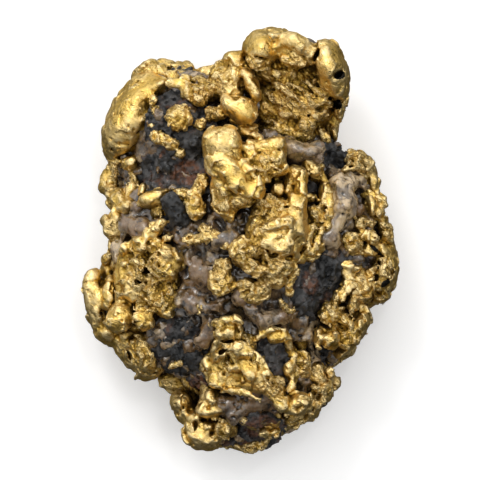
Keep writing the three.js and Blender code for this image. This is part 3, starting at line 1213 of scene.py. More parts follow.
@dataclass
class Belly(GoldMass):
    """The belly below the knuckle: a spine and smooth plates above, a rough back and bumpy toes."""

    name: str = "belly_gold"
    seed: int = 141
    lumps: Lumps = (
        Lump((4.6, 0.8, 0.8), (4.2, 4.6, 3.4), -16, 0.8), Lump((4.4, 4.8, 1), (2.6, 1.9, 2.8), -6, 0.4, 2.4),
        Lump((5.7, 0.2, 1.6), (2.3, 2.3, 3), -20, 0.3, 3.0, tilt=8),
        Lump((5.9, 2.7, 2.4), (2, 0.7, 2.2), 6, 0.2, 3.0),
        Lump((0.4, -1.4, 1.2), (2, 2.3, 2.5), -20, 0.35, 2.4),
        Lump((1.6, -3.6, 1.3), (2.4, 1.3, 2.3), -30, 0.3, 2.6),
        Lump((4.4, -3.6, 1.6), (1.9, 1.6, 2.4), -24, 0.3, 2.8),
        Lump((6.2, -3.8, 1.4), (1.7, 1.8, 2.4), 20, 0.3, 2.6),
        Lump((5, -5.6, 1), (1.9, 1.1, 2.1), 6, 0.3, 2.6), Lump((7.8, 10.2, 2), (1.7, 1.1, 2), -24, 0.4, 3.0),
        Lump((8.5, 7.9, 2.2), (0.85, 2.7, 2.1), -4, 0.5, 3.0),
        Lump((7, 8.4, 1), (1, 1.9, 1.8), -8, 0.3, 2.8),
        Lump((8.2, 5.2, 1.9), (1.5, 2.3, 2.5), -6, 0.4, 3.2, tilt=6),
        Lump((8.3, 2.3, 1.5), (1.5, 2.7, 2.8), 8, 0.3, 3.0, tilt=-5),
        Lump((7.6, -1.3, 1.1), (1.1, 1.8, 2.5), -14, 0.3, 2.6),
    )
    strands: Strands = (
        Strand(((8.7, 10.2, 3.8, 0.5), (8.8, 7.6, 4, 0.5), (8.6, 5, 4, 0.6), (8.4, 2.2, 3.8, 0.6)), 0.6),
        Strand(((4, 2.6, 4.4, 0.4), (5.6, 2.9, 4.8, 0.4), (7.2, 3.6, 4.6, 0.4)), 0.4),
    )
    rough: Spots = (
        Spot((3.8, 4.9, 3.2), 2.6), Spot((0.8, -2.4, 3), 2.8), Spot((4.6, -4.4, 3.2), 3),
        Spot((2, 1.6, 3.4), 1.8),
    )
    calm: Spots = (Spot((5.8, 0.4, 4.4), 2.2), Spot((8.3, 4, 4), 3.4))
    relief: Relief = Relief(
        swell=(0.18, 2.8), crease=(0.11, 1.8), plates=(0.46, 1.8), crumple=(0.55, 1.15), grain=(0.035, 0.55),
        pits=(12, 0.12, 0.22), cells=(1, 0.25, 0.4),
    )
    holes: Lumps = (
        Lump((5.7, 0, 6.5), (2.6, 2.2, 2.1), -30), Lump((3.3, -0.9, 5), (1.3, 0.22, 2), -30),
        Lump((5.4, -2.4, 5), (1.6, 0.22, 2), -20), Lump((7.3, -2.7, 4.4), (0.8, 0.22, 1.6), 0),
        Lump((2.6, -2.6, 4.6), (1.3, 0.25, 1.8), -38), Lump((6.6, 5.3, 4.8), (0.9, 0.28, 1.8), 8),
        Lump((6.6, 3.4, 5.2), (0.55, 0.2, 1.2), 30),
    )


@dataclass
class Ring(GoldMass):
    """The porous ring round the dark hollow, right of the spine."""

    name: str = "ring_gold"
    seed: int = 151
    lumps: Lumps = (
        Lump((10.3, 11.4, 0.9), (2.1, 0.9, 1.7), -46, 0.25, 2.8),
        Lump((11.5, 9.6, 0.8), (1, 0.9, 1.4), 0, 0.3), Lump((12.9, 6, 0.7), (0.9, 3, 1.7), 8, 0.3, 2.4),
        Lump((12.6, 3.2, 0.7), (1.2, 1.7, 1.6), 0, 0.3, 2.4),
        Lump((10.9, 3.6, 0.8), (1.6, 1.9, 1.6), -16, 0.3),
        Lump((11.5, 0.8, 0.9), (0.8, 1.9, 1.8), -12, 0.2, 2.8),
        Lump((9.9, 0.4, 0.9), (1.1, 2, 1.7), -10, 0.2, 2.6),
        Lump((9.9, -1.2, 0.7), (1.7, 0.9, 1.5), 24, 0.3, 2.6),
        Lump((10.2, 6.8, 0.7), (1.1, 0.8, 1.2), -14, 0.1, 2.6),
    )
    strands: Strands = (
        Strand(((8.7, 13, 1.3, 0.4), (10.4, 12.4, 1.7, 0.45), (11.8, 10.8, 1.7, 0.5),
            (12.8, 8.8, 1.5, 0.5)), 0.2),
        Strand(((11.4, -1, 0.8, 0.8), (9.9, -2.1, 0.8, 0.7), (8.4, -2.9, 0.8, 0.6)), 0.2),
    )
    rough: Spots = (Spot((10.8, 3.6, 2), 2.6), Spot((10.4, 10.8, 1.8), 2))
    relief: Relief = Relief(
        swell=(0.16, 3.2), crease=(0.12, 1.2), plates=(0.34, 1.4), crumple=(0.55, 1.15),
        pits=(12, 0.14, 0.26), cells=(7, 0.2, 0.36),
    )
    holes: Lumps = (
        Lump((9.3, 2.6, 2.8), (0.25, 1.5, 1.8), -6), Lump((10.9, 0.6, 3.2), (0.2, 1.6, 1.4), -18),
        Lump((12, 4.8, 2.8), (0.5, 0.35, 1.4)),
    )


@dataclass
class Sponge(GoldMass):
    """The crystalline gold on the left: a smooth rim and bulb round a honeycombed body, and a finger."""

    name: str = "sponge_gold"
    seed: int = 161
    lumps: Lumps = (
        Lump((-13.6, -5.4, 0.6), (4.6, 5.6, 3.4), 6, 0.8, 2.4),
        Lump((-11.6, -3.4, 1), (2.6, 2.8, 2.4), -30, 0.4, 2.6),
        Lump((-11.6, -8.6, 0.8), (2.2, 2.2, 2.4), 20, 0.4, 2.4),
        Lump((-15.4, -0.2, 1.6), (1.4, 1.3, 2), 0, 0.3, 2.4),
        Lump((-13.2, -0.6, 1.4), (1.5, 1.2, 2), -20, 0.3, 2.6),
        Lump((-15.1, -11.5, 1.4), (1.5, 1.4, 2.4), 0, 0.2, 2.4),
        Lump((-18.3, -10.9, 1.6), (1.9, 2.8, 3.4), -24, 0.4, 2.5),
        Lump((-11.3, -10.6, 0.6), (0.9, 0.8, 1.4), -30, 0.3), Lump((-17.2, -6, 0.4), (2.2, 5.4, 4), 2, 0.6),
    )
    strands: Strands = (
        Strand(((-14.6, 0.9, 2.6, 0.75), (-13.2, 1.9, 2.6, 0.8), (-11.9, 2.8, 2.2, 0.6)), 0.2),
        Strand(((-17.4, -0.8, 2.8, 0.8), (-18, -3.4, 3.1, 1), (-18.1, -6.4, 3.1, 1.15),
            (-17.8, -8.8, 3, 1.2))),
        Strand(((-16.6, -3.2, 3.6, 0.4), (-15.4, -2.9, 3.8, 0.4), (-14.6, -3.4, 3.8, 0.35)), 0.2),
        Strand(((-16.2, -5, 3.8, 0.4), (-14.8, -5.4, 4, 0.45), (-13.2, -5, 3.9, 0.4)), 0.2),
    )
    rough: Spots = (Spot((-13.8, -3.6, 3.2), 4.2), Spot((-12.6, -7.4, 3), 3.5))
    calm: Spots = (Spot((-18.2, -5, 3.4), 2.4), Spot((-18.8, -10.6, 4.2), 2))
    relief: Relief = Relief(
        swell=(0.2, 2.6), crease=(0.12, 1.4), plates=(0.42, 1.5), crumple=(0.6, 0.85), grain=(0.04, 0.55),
        pits=(12, 0.14, 0.26), cells=(4, 0.2, 0.34),
    )
    holes: Lumps = (
        Lump((-14.3, -4.2, 5.4), (0.9, 0.5, 3), -40), Lump((-12.2, -1.6, 4.2), (0.4, 0.4, 1.4)),
        Lump((-15.4, -5.9, 5.4), (0.9, 0.25, 1.6), -20), Lump((-16.3, -10.6, 5), (0.25, 1.9, 3.6), -4),
        Lump((-18.3, -7.9, 5.4), (0.3, 0.3, 1.2)), Lump((-12.3, -3.9, 5), (0.5, 0.25, 1.4), 40),
    )


@dataclass
class LeftRim(GoldMass):
    """The gold down the left edge: the far bulge, the thin edge above it and the flank below."""

    name: str = "left_rim_gold"
    seed: int = 171
    on_rock: bool = False
    lumps: Lumps = (
        Lump((-22, -9, 9.2), (2.1, 5, 5.6), 10, 1), Lump((-20.2, -4.3, 10), (1.6, 2.6, 3.4), -10, 0.6),
        Lump((-20.4, -13.4, 9.4), (2, 2.4, 4.6), 40, 1),
        Lump((-20.2, -7.6, 14.2), (1.2, 2.6, 2.6), -6, 0.15, 2.4),
        Lump((-14.9, -16.6, 14.2), (1.7, 3.2, 3), 18, 0.25, 2.6),
        Lump((-16.8, -16.6, 8.8), (2.2, 5.2, 5.2), 42, 1), Lump((-14.4, -19.9, 11.4), (1.4, 1, 2.4), 0, 0.3),
        Lump((-13.3, 6.4, 18.4), (2.8, 1.5, 2.1), 14, 0.25, 2.4),
        Lump((-12.6, 4.6, 18.4), (1.2, 1.3, 1.5), -20, 0.2, 2.4),
        Lump((-18.7, 4.3, 11.6), (0.8, 0.9, 2.2), 0, 0.2), Lump((-18.8, 2.4, 11.4), (0.7, 1.3, 2), 10, 0.2),
        Lump((-19.9, -0.6, 11.2), (0.7, 1.5, 2.2), -12, 0.2),
        Lump((-20.5, -3, 11.8), (1, 1.3, 2.4), -8, 0.2),
    )
    strands: Strands = (
        Strand(((-22.4, -5, 12.6, 1), (-23, -7, 13, 1.2), (-23, -9.4, 12.8, 1.35),
            (-21.9, -12, 12.2, 1.2))),
        Strand(((-20.6, -13.3, 12.2, 1), (-18.6, -15.7, 12.2, 1), (-16.4, -18.2, 12, 1),
            (-14.7, -20, 11.6, 0.8)), 0.25),
    )
    rough: Spots = (
        Spot((-14.8, -16.4, 16.4), 2.6), Spot((-19.8, -2.4, 13.4), 1.5), Spot((-12.6, 4.4, 19.4), 1.2),
        Spot((-20.4, -11.4, 14), 1.8),
    )
    calm: Spots = (
        Spot((-23.2, -8.2, 13), 2.8), Spot((-13.6, 6.6, 19.8), 2), Spot((-21.4, -3.6, 10.6), 2.4),
    )
    relief: Relief = Relief(swell=(0.2, 3.2), crease=(0.1, 1.7), plates=(0.34, 2), pits=(14, 0.14, 0.26))
    holes: Lumps = (
        Lump((-21.4, -6.2, 15.4), (0.35, 1, 2.6), -30), Lump((-21.5, -9.6, 15), (0.2, 1.8, 1.6), 4),
        Lump((-21.2, -11.6, 14.6), (0.35, 0.4, 1.6)), Lump((-17.6, -14, 14.6), (1.4, 0.7, 3.4), -44),
        Lump((-17, -17.2, 14), (0.25, 1.9, 2), 34),
    )


@dataclass
class RightCrust(GoldMass):
    """The gold crust down the right edge, with quartz and dark pockets showing through."""

    name: str = "right_crust_gold"
    seed: int = 181
    on_rock: bool = False
    lumps: Lumps = (
        Lump((17, 12.8, 14.8), (1.5, 1, 2.4), -20, 0.3, 2.4), Lump((18.6, 9.8, 9.6), (2, 4.2, 5), 14, 1),
        Lump((16.5, 7.8, 17.6), (0.9, 1, 1.2), 0, 0.2, 2.4), Lump((19.8, 5.2, 15.2), (0.9, 1.7, 2), 4, 0.2),
        Lump((18.6, 3.2, 16), (1.3, 1, 1.6), -30, 0.2, 2.4), Lump((16.7, 4, 17.6), (0.45, 0.6, 0.8), 0, 0.1),
        Lump((17.4, 2.5, 16.8), (0.9, 0.7, 1.3), 30, 0.2),
        Lump((16.6, -0.2, 17), (1.75, 1.9, 2.6), 0, 0.15, 2.3),
        Lump((19.1, 0.9, 16.2), (1.7, 1, 2.2), -34, 0.2, 2.8),
        Lump((19.3, -1, 15.8), (1.6, 1.2, 2.2), -20, 0.25, 2.6),
        Lump((21.6, -4, 12.8), (2.4, 4.2, 4.3), -3, 0.5),
        Lump((20.8, -1.4, 13), (1.8, 2.2, 3.6), 30, 0.4, 2.4),
        Lump((21.4, -2.4, 8.6), (2.4, 6.8, 5.4), 0, 1),
        Lump((19.5, -5.5, 15.2), (1.25, 1.8, 2.4), -14, 0.2, 2.4),
        Lump((21.5, -8, 12.6), (1.5, 0.95, 2.6), 6, 0.3),
        Lump((16.3, -3.4, 17), (2, 0.95, 1.7), -26, 0.2, 3.0),
        Lump((16.2, -4.8, 17), (1.1, 1.3, 1.5), 30, 0.2, 3.0),
        Lump((13.6, -3.6, 18.2), (0.6, 0.8, 1), 0, 0.1), Lump((21.9, 1.6, 12.8), (1.1, 3.2, 3.2), 16, 0.4),
    )
    strands: Strands = (
        Strand(((17.8, 13.2, 15.2, 0.7), (19.3, 11.6, 14.8, 0.9), (20.1, 9.4, 14.2, 0.85),
            (20.3, 7.2, 13.8, 0.7))),
        Strand(((15.6, 10.8, 17.2, 0.45), (16.7, 11.8, 17.2, 0.5), (18.2, 10.9, 16.8, 0.5),
            (19.3, 9.6, 16, 0.45)), 0.2),
        Strand(((20.8, 4.6, 14.6, 0.8), (21.6, 2.8, 14.6, 0.9), (22.2, 0.8, 14.2, 0.9))),
    )
    rough: Spots = (
        Spot((16.8, -0.2, 19), 2.4), Spot((21.6, 2.6, 15.4), 2.6), Spot((17.6, 12.4, 16.4), 2.4),
        Spot((18.2, 3.2, 17.6), 2), Spot((20.6, -8, 14.6), 2), Spot((21.4, -4.2, 16.4), 2.4),
    )
    calm: Spots = (Spot((19.8, 5.2, 16.6), 1.6),)
    relief: Relief = Relief(
        swell=(0.2, 2.6), crease=(0.1, 1.5), plates=(0.4, 1.9), crumple=(0.6, 1.15), cells=(1, 0.35, 0.75),
    )
    holes: Lumps = (
        Lump((18.5, -2.8, 18), (1.6, 0.45, 3), 6), Lump((20.9, 0.3, 17.4), (1.9, 0.28, 2), -30),
        Lump((20.9, -3.6, 17), (0.14, 1.6, 1.6), -14),
    )
    inlays: Patches = (Patch(21.9, -6.2, 1.1, 0.6, 30), Patch(20.4, -1.2, 1.6, 0.4, -40))


@dataclass
class RightSkirt(GoldMass):
    """The crystalline gold on the lower right: leaves, nuggets and a sloping mass."""

    name: str = "right_skirt_gold"
    seed: int = 191
    on_rock: bool = False
    lumps: Lumps = (
        Lump((15.5, -7.5, 17.2), (2.1, 1.2, 1.75), 40, 0.2, 3.0),
        Lump((14.2, -8.9, 17.4), (0.8, 0.9, 1.4), 0, 0.2, 2.4),
        Lump((17, -8.7, 16.6), (0.9, 1.8, 1.8), -6, 0.12, 2.6),
        Lump((13.6, -10.8, 17.6), (1.9, 1.4, 2), -36, 0.25, 2.5),
        Lump((15.6, -12, 16.8), (1.8, 1.1, 2), -34, 0.25, 2.5),
        Lump((13.7, -14.4, 17), (1.7, 1.6, 2.3), 10, 0.15, 2.4),
        Lump((11.8, -14.4, 17.2), (0.6, 1.5, 1.6), -6, 0.1, 2.4),
        Lump((16.2, -14.4, 15.4), (1.7, 1.7, 2.6), 30, 0.25, 2.5),
        Lump((17.1, -13.2, 13), (1.8, 3.4, 4.2), -36, 0.5, 2.3),
        Lump((16.3, -13.6, 8.6), (2.3, 5.4, 5), -34, 1),
        Lump((18.5, -10.7, 13.2), (0.9, 1.4, 2.4), 4, 0.25, 2.4),
        Lump((15.1, -16.6, 12), (1, 1.3, 2.4), -40, 0.4),
    )
    strands: Strands = (Strand(((14.4, -9.8, 18.4, 0.5), (15.4, -9.9, 18.2, 0.45)), 0.2),)
    rough: Spots = (
        Spot((14.6, -11.4, 18.4), 3), Spot((16.4, -14, 17), 2.2), Spot((17, -8.8, 18), 1.6),
    )
    calm: Spots = (Spot((18.4, -13.6, 15), 2),)
    relief: Relief = Relief(swell=(0.18, 2.4), crease=(0.12, 1.3), plates=(0.5, 1.5))
    holes: Lumps = (
        Lump((16, -9, 18.6), (0.22, 1.4, 2.4), -8), Lump((12.5, -14.2, 18.8), (0.18, 1.4, 2.4), -4),
        Lump((14.4, -12.7, 18.4), (1.6, 0.25, 2), -18),
    )


@dataclass
class Foil(GoldMass):
    """The folded foil below the middle, and the thin gold round a dark hollow beside it."""

    name: str = "foil_gold"
    seed: int = 201
    lumps: Lumps = (
        Lump((-0.7, -18.4, 0.4), (4.4, 3.4, 2.2), -24, 0.6, 2.6),
        Lump((-2.4, -13.4, 0.5), (1.9, 1.9, 1.9), 10, 0.3, 2.8),
        Lump((-1.6, -15.4, 0.5), (2.2, 1.4, 1.9), -30, 0.3, 2.6),
        Lump((0.6, -14.9, 0.5), (1.5, 1, 1.7), -30, 0.3, 2.6),
        Lump((-2.6, -20.9, 1), (2.5, 1.5, 1.9), -8, 0.3, 3.0),
        Lump((-4.9, -19.4, 0.9), (0.8, 1.5, 1.7), 16, 0.3),
        Lump((2.8, -20.4, 1), (1.5, 2.2, 1.8), 26, 0.3, 2.6),
        Lump((5.2, -13.9, 0.5), (1.3, 1.1, 1.3), 4, 0.2, 3.0),
        Lump((7.2, -16.3, 0.5), (0.9, 1.5, 1.4), 22, 0.2, 2.6),
        Lump((9, -18.3, 0.7), (1.4, 1.9, 1.8), -10, 0.2, 2.5),
        Lump((7.2, -19.2, 0.7), (0.9, 1.2, 1.5), 0, 0.2),
        Lump((5.1, -21.7, 1.2), (1.3, 1.4, 1.6), 0, 0.25, 2.4),
        Lump((8.3, -24.1, 2.6), (1.9, 1.2, 2.6), 10, 0.25, 2.5), Lump((6, -23.6, 2.2), (1, 1, 1.8), 0, 0.3),
    )
    strands: Strands = (
        Strand(((-4.4, -12.5, 1.5, 0.4), (-2.8, -11.9, 1.8, 0.5), (-0.7, -11.8, 1.8, 0.5),
            (-0.4, -13.2, 1.8, 0.45)), 0.2),
        Strand(((-3.9, -14, 1.9, 0.4), (-3.9, -15.8, 1.9, 0.4), (-4.4, -17.9, 1.6, 0.45),
            (-5.4, -18.4, 1.2, 0.4)), 0.2),
        Strand(((-4.3, -17.8, 2.2, 0.35), (-2.9, -16.6, 2.8, 0.45), (-1.4, -15.8, 3.1, 0.6),
            (0.2, -16.2, 3.3, 0.7), (1.7, -17, 3, 0.7), (2.8, -18.4, 2.8, 0.65),
            (3.8, -20.2, 2.6, 0.6)), 0.3),
        Strand(((-0.4, -17, 2.6, 0.7), (0.3, -18.6, 2.7, 0.8), (1.4, -20.2, 2.6, 0.7)), 0.6),
        Strand(((-3.2, -18.6, 2.6, 0.4), (-1.6, -18.9, 3, 0.45), (-0.2, -18.6, 3.1, 0.4)), 0.3),
        Strand(((-5.2, -20.4, 1.8, 0.35), (-4.4, -21.7, 2.1, 0.35), (-2.4, -22.3, 2.7, 0.35),
            (0, -22.3, 2.9, 0.35), (2.2, -23.3, 3, 0.4)), 0.2),
        Strand(((3.6, -21.2, 2.4, 0.6), (5, -23.2, 3.2, 0.6), (6.4, -24.8, 4.2, 0.55),
            (7.8, -25.5, 5, 0.5), (9.6, -25, 5.4, 0.6)), 0.25),
        Strand(((2.2, -14.5, 1.3, 0.35), (3.3, -13.7, 1.4, 0.35), (4.4, -13, 1.5, 0.4),
            (6.2, -12.8, 1.4, 0.4)), 0.2),
        Strand(((3.2, -13.5, 1.2, 0.5), (3, -12.1, 1, 0.45)), 0.2),
        Strand(((6.3, -14.2, 1.3, 0.4), (7, -15.6, 1.4, 0.45), (7.9, -17, 1.5, 0.5)), 0.2),
        Strand(((8, -20, 1.5, 0.55), (7.4, -21.2, 1.7, 0.5), (6.6, -21.9, 1.9, 0.4)), 0.2),
    )
    rough: Spots = (
        Spot((0.6, -14.6, 2), 1.6), Spot((-2, -18.4, 2.4), 1.9), Spot((5, -21.8, 2.6), 2.4),
        Spot((8.8, -18.4, 2.2), 2.2), Spot((-3.4, -12.6, 2), 1.6),
    )
    calm: Spots = (Spot((0.6, -22.9, 2.8), 2.2),)
    relief: Relief = Relief(
        swell=(0.16, 2.2), crease=(0.09, 1.5), plates=(0.44, 1.6), crumple=(0.5, 0.95), grain=(0.035, 0.55),
        pits=(10, 0.14, 0.26),
    )
    holes: Lumps = (
        Lump((-2.9, -16.2, 3.2), (0.9, 0.4, 2.2), 36), Lump((-2.3, -17.1, 3.6), (0.35, 0.45, 1.8)),
        Lump((1.7, -17.5, 3.4), (0.65, 0.6, 1.5)), Lump((-1.8, -20.6, 4), (1.7, 0.9, 1.4), -14),
        Lump((-1.3, -17.6, 4.2), (0.5, 0.6, 1.2)), Lump((-3, -14.9, 3), (1.1, 0.25, 1.4), -14),
        Lump((2.2, -22.6, 3.6), (0.9, 0.45, 2.4), -38), Lump((3.9, -20.3, 3), (0.5, 0.45, 1.8)),
    )


@dataclass
class Foot(GoldMass):
    """The gold round the foot: nuggets on the left, a lip at the tip and folds on the right."""

    name: str = "foot_gold"
    seed: int = 211
    on_rock: bool = False
    lumps: Lumps = (
        Lump((-5.6, -28.9, 12), (3.3, 3, 4.2), -16, 0.5, 2.4),
        Lump((-4.8, -28.2, 8.2), (3.9, 3.8, 5.4), 0, 1), Lump((-8.6, -25.8, 10.6), (1.8, 2.4, 3.6), 30, 0.6),
        Lump((-2.5, -28.1, 15.2), (2, 1.8, 2.8), -10, 0.15, 2.5),
        Lump((-4.8, -25.3, 16.4), (1.9, 1.1, 2.4), 4, 0.25, 2.5),
        Lump((-4.7, -23.6, 17), (1, 1.5, 2.2), -6, 0.3, 2.3), Lump((-7, -26.8, 13), (1.4, 1.4, 3), 0, 0.3),
        Lump((-9.2, -24.1, 12), (1.5, 1.7, 3.4), 30, 0.6), Lump((9.5, -24.1, 9.2), (2.6, 3.1, 5), 30, 1),
        Lump((8.8, -26.2, 12.4), (2.3, 1.2, 3.2), 32, 0.3, 2.5),
        Lump((12.1, -22.2, 12.2), (1.3, 2.2, 3.4), -24, 0.3, 2.4),
        Lump((3.4, -28.9, 15), (0.9, 0.7, 1.2), 20, 0.15), Lump((4.9, -28.9, 14), (1, 0.6, 1.4), 24, 0.15),
    )
    strands: Strands = (
        Strand(((-1.8, -31.2, 9.6, 0.8), (0.4, -31.4, 11, 0.9), (2.4, -30.8, 12, 0.8),
            (4.4, -29.6, 12.6, 0.6)), 0.25),
        Strand(((13, -20.4, 13.6, 0.6), (12.9, -21.8, 13.4, 0.8), (11.6, -24.2, 13.2, 0.8),
            (9.8, -26.4, 13, 0.8), (8, -27.9, 12.4, 0.7)), 0.25),
        Strand(((11, -21.8, 16.2, 0.5), (12.2, -22.2, 16, 0.5), (12.2, -23.8, 15.6, 0.55),
            (10.8, -24.8, 15.8, 0.6), (9.6, -24.8, 16.2, 0.5)), 0.2),
        Strand(((7, -26.2, 15.2, 0.4), (8.6, -25.9, 15.4, 0.45), (10.4, -26, 14.8, 0.4)), 0.2),
        Strand(((-4.2, -26.6, 17, 0.4), (-2.6, -26.8, 17, 0.4), (-1, -27.4, 16.4, 0.4)), 0.2),
    )
    rough: Spots = (
        Spot((-2.4, -28.4, 17), 2.2), Spot((11.4, -23.4, 15.6), 2.8), Spot((2.4, -30.2, 12.6), 3),
        Spot((8.6, -27, 14.8), 2.2),
    )
    calm: Spots = (Spot((-5.8, -30.4, 14), 2),)
    relief: Relief = Relief(swell=(0.2, 2.6), crease=(0.12, 1.7), plates=(0.48, 1.8), crumple=(0.55, 1.15))
    holes: Lumps = (
        Lump((-5.2, -24.9, 19.2), (0.18, 0.45, 1.4), 20), Lump((-4, -25, 19.2), (0.18, 0.45, 1.4), -20),
        Lump((-7.3, -27.6, 15.8), (0.14, 0.8, 1.6), -16), Lump((-4.5, -28.6, 16.6), (0.12, 1.3, 1.6), -8),
        Lump((-5, -27, 16), (1.6, 0.18, 2.2), -8), Lump((11.5, -22.9, 17), (0.4, 0.5, 2)),
        Lump((-9.2, -24.6, 14.8), (0.16, 0.6, 1.4), 20),
    )


@dataclass
class Grains(GoldMass):
    """Small gold in the rock: islands in the ironstone, stringers and flakes in the quartz."""

    name: str = "gold_grains"
    seed: int = 221
    sway: float = 0.3
    fewest: int = 40
    lumps: Lumps = (
        Lump((-9.4, 18.7, 0.9), (1.8, 1.7, 1.5), 24, 0.2, 2.6),
        Lump((-12, 15.6, 0.7), (1.5, 0.85, 1.2), -20, 0.2, 2.5),
        Lump((-10.4, 14.8, 0.7), (1, 0.7, 1.1), 20, 0.2, 2.5),
        Lump((-9.2, 13.4, 0.6), (0.6, 0.7, 0.8), 0, 0.2), Lump((-6.2, 17.6, 0.9), (0.7, 0.8, 0.9), 0, 0.2),
        Lump((-2.8, -3.6, 0.7), (1.1, 1, 1.4), 0, 0.2, 2.5),
        Lump((-3.3, -5.8, 0.7), (1.8, 1.8, 1.6), 20, 0.2, 2.8),
        Lump((0.4, -6.6, 0.5), (1.4, 1, 1.5), 20, 0.25, 2.4),
        Lump((1.4, -7.9, 0.4), (2, 1.2, 1.4), -8, 0.25, 2.4),
        Lump((3.2, -7, 0.4), (1.3, 1.4, 1.5), 0, 0.3, 2.4),
        Lump((-7, 5.2, 0.8), (1.3, 1.6, 1.5), 30, 0.2, 2.5),
        Lump((-8.8, 7.2, 0.7), (1.5, 0.6, 1.2), -10, 0.2), Lump((-11.2, 0.6, 0.8), (0.6, 0.4, 0.7)),
        Lump((-6.4, -9.6, 0.9), (0.4, 0.6, 0.5)), Lump((-3.2, -12.6, 0.9), (0.4, 0.4, 0.5)),
        Lump((-9.8, -18.2, 0.8), (1.1, 0.5, 0.7), 20, 0.1), Lump((13.2, -19.4, 1), (0.5, 0.8, 0.8), 0, 0.1),
    )
    strands: Strands = (
        Strand(((-7.4, 6.8, 1.3, 0.7), (-6.4, 8.2, 1.2, 0.75), (-6, 9.7, 1, 0.5)), 0.2),
        Strand(((-8.4, 0.4, 0.9, 0.5), (-6.6, 0.5, 1, 0.6), (-4.9, 0.9, 0.9, 0.45)), 0.2),
        Strand(((-5.9, 2, 0.8, 0.5), (-4.5, 1.4, 0.8, 0.55), (-3.4, 0.4, 0.8, 0.4),
            (-2.3, -0.7, 0.9, 0.5)), 0.2),
        Strand(((6.4, -9, 0.8, 0.3), (6.8, -9.9, 0.9, 0.35), (7.6, -10, 0.9, 0.3)), 0.1),
        Strand(((8.2, -4.6, 0.7, 0.3), (7.4, -6.2, 0.9, 0.4), (7.4, -7.6, 0.8, 0.35)), 0.1),
        Strand(((5.7, 15.6, 1.2, 0.3), (4.6, 15.5, 1.2, 0.3)), 0.1),
    )
    relief: Relief = Relief(swell=(0.14, 1.6), crease=(0.08, 1), plates=(0.38, 0.9), crumple=(0, 1.15))


@dataclass
class SideGold(GoldMass):
    """Gold on the flanks and the back, grown in clusters of lumps and strands that chance has placed."""

    name: str = "side_gold"
    seed: int = 301
    step: float = 0.28
    sway: float = 0.9
    on_rock: bool = False
    lowest: float = -1.0
    highest: float = 15.0
    towards: Point = (1.0, 0.0, 0.0)
    count: int = 60
    within: tuple[float, float] = (20.2, 28.6)
    sizes: tuple[float, float] = (1.1, 3.0)
    tries: int = 30000
    facing: float = 0.45
    cluster_length: float = 9.0
    cluster_level: float = -0.22
    depth: tuple[float, float] = (-0.45, 0.1)
    lump_share: float = 0.68
    lump_radii: tuple[float, float] = (0.6, 1.15)
    strand_reach: tuple[float, float] = (1.0, 1.7)
    strand_radius: float = 0.36
    relief: Relief = Relief(swell=(0.3, 2.8), crease=(0.2, 1.7), plates=(0.5, 2), crumple=(0, 1.15))

    def scatter(self, rock: Clay) -> None:
        """Places the lumps and strands on the rock's skin.

        Args:
            rock: the bare rock.
        """
        draw = np.random.default_rng(self.seed)
        places, away = rock.skin_samples(self.tries, draw)
        good = (away @ np.asarray(self.towards) > self.facing) & (places[:, 2] > self.lowest)
        good &= places[:, 2] < self.highest
        good &= Noise(self.seed + 1)(places, self.cluster_length) > self.cluster_level
        good &= (np.abs(places[:, :2]) < self.within).all(axis=1)
        places, away = places[good][: self.count], away[good][: self.count]
        lumps, strands = [], []
        for at, out in zip(places, away):
            size = draw.uniform(*self.sizes)
            middle = at + out * size * draw.uniform(*self.depth)
            if draw.random() < self.lump_share:
                radii = tuple(float(size * draw.uniform(*self.lump_radii)) for _ in AXES)
                turn, tilt = draw.uniform(0, 180, 2)
                lumps.append(Lump(tuple(map(float, middle)), radii, float(turn), 0.35, tilt=float(tilt)))
            else:
                side = np.cross(out, draw.normal(size=3))
                side *= size * draw.uniform(*self.strand_reach) / max(np.linalg.norm(side), 1e-6)
                radius = float(size * self.strand_radius)
                ends = tuple((*map(float, middle + side * way), radius) for way in (-1, 0.1, 1))
                strands.append(Strand(ends, 0.3))
        self.lumps, self.strands = tuple(lumps), tuple(strands)


# Finishes

Colour = tuple[float, float, float]
Socket = bpy.types.NodeSocket
Source = Socket | float | Colour


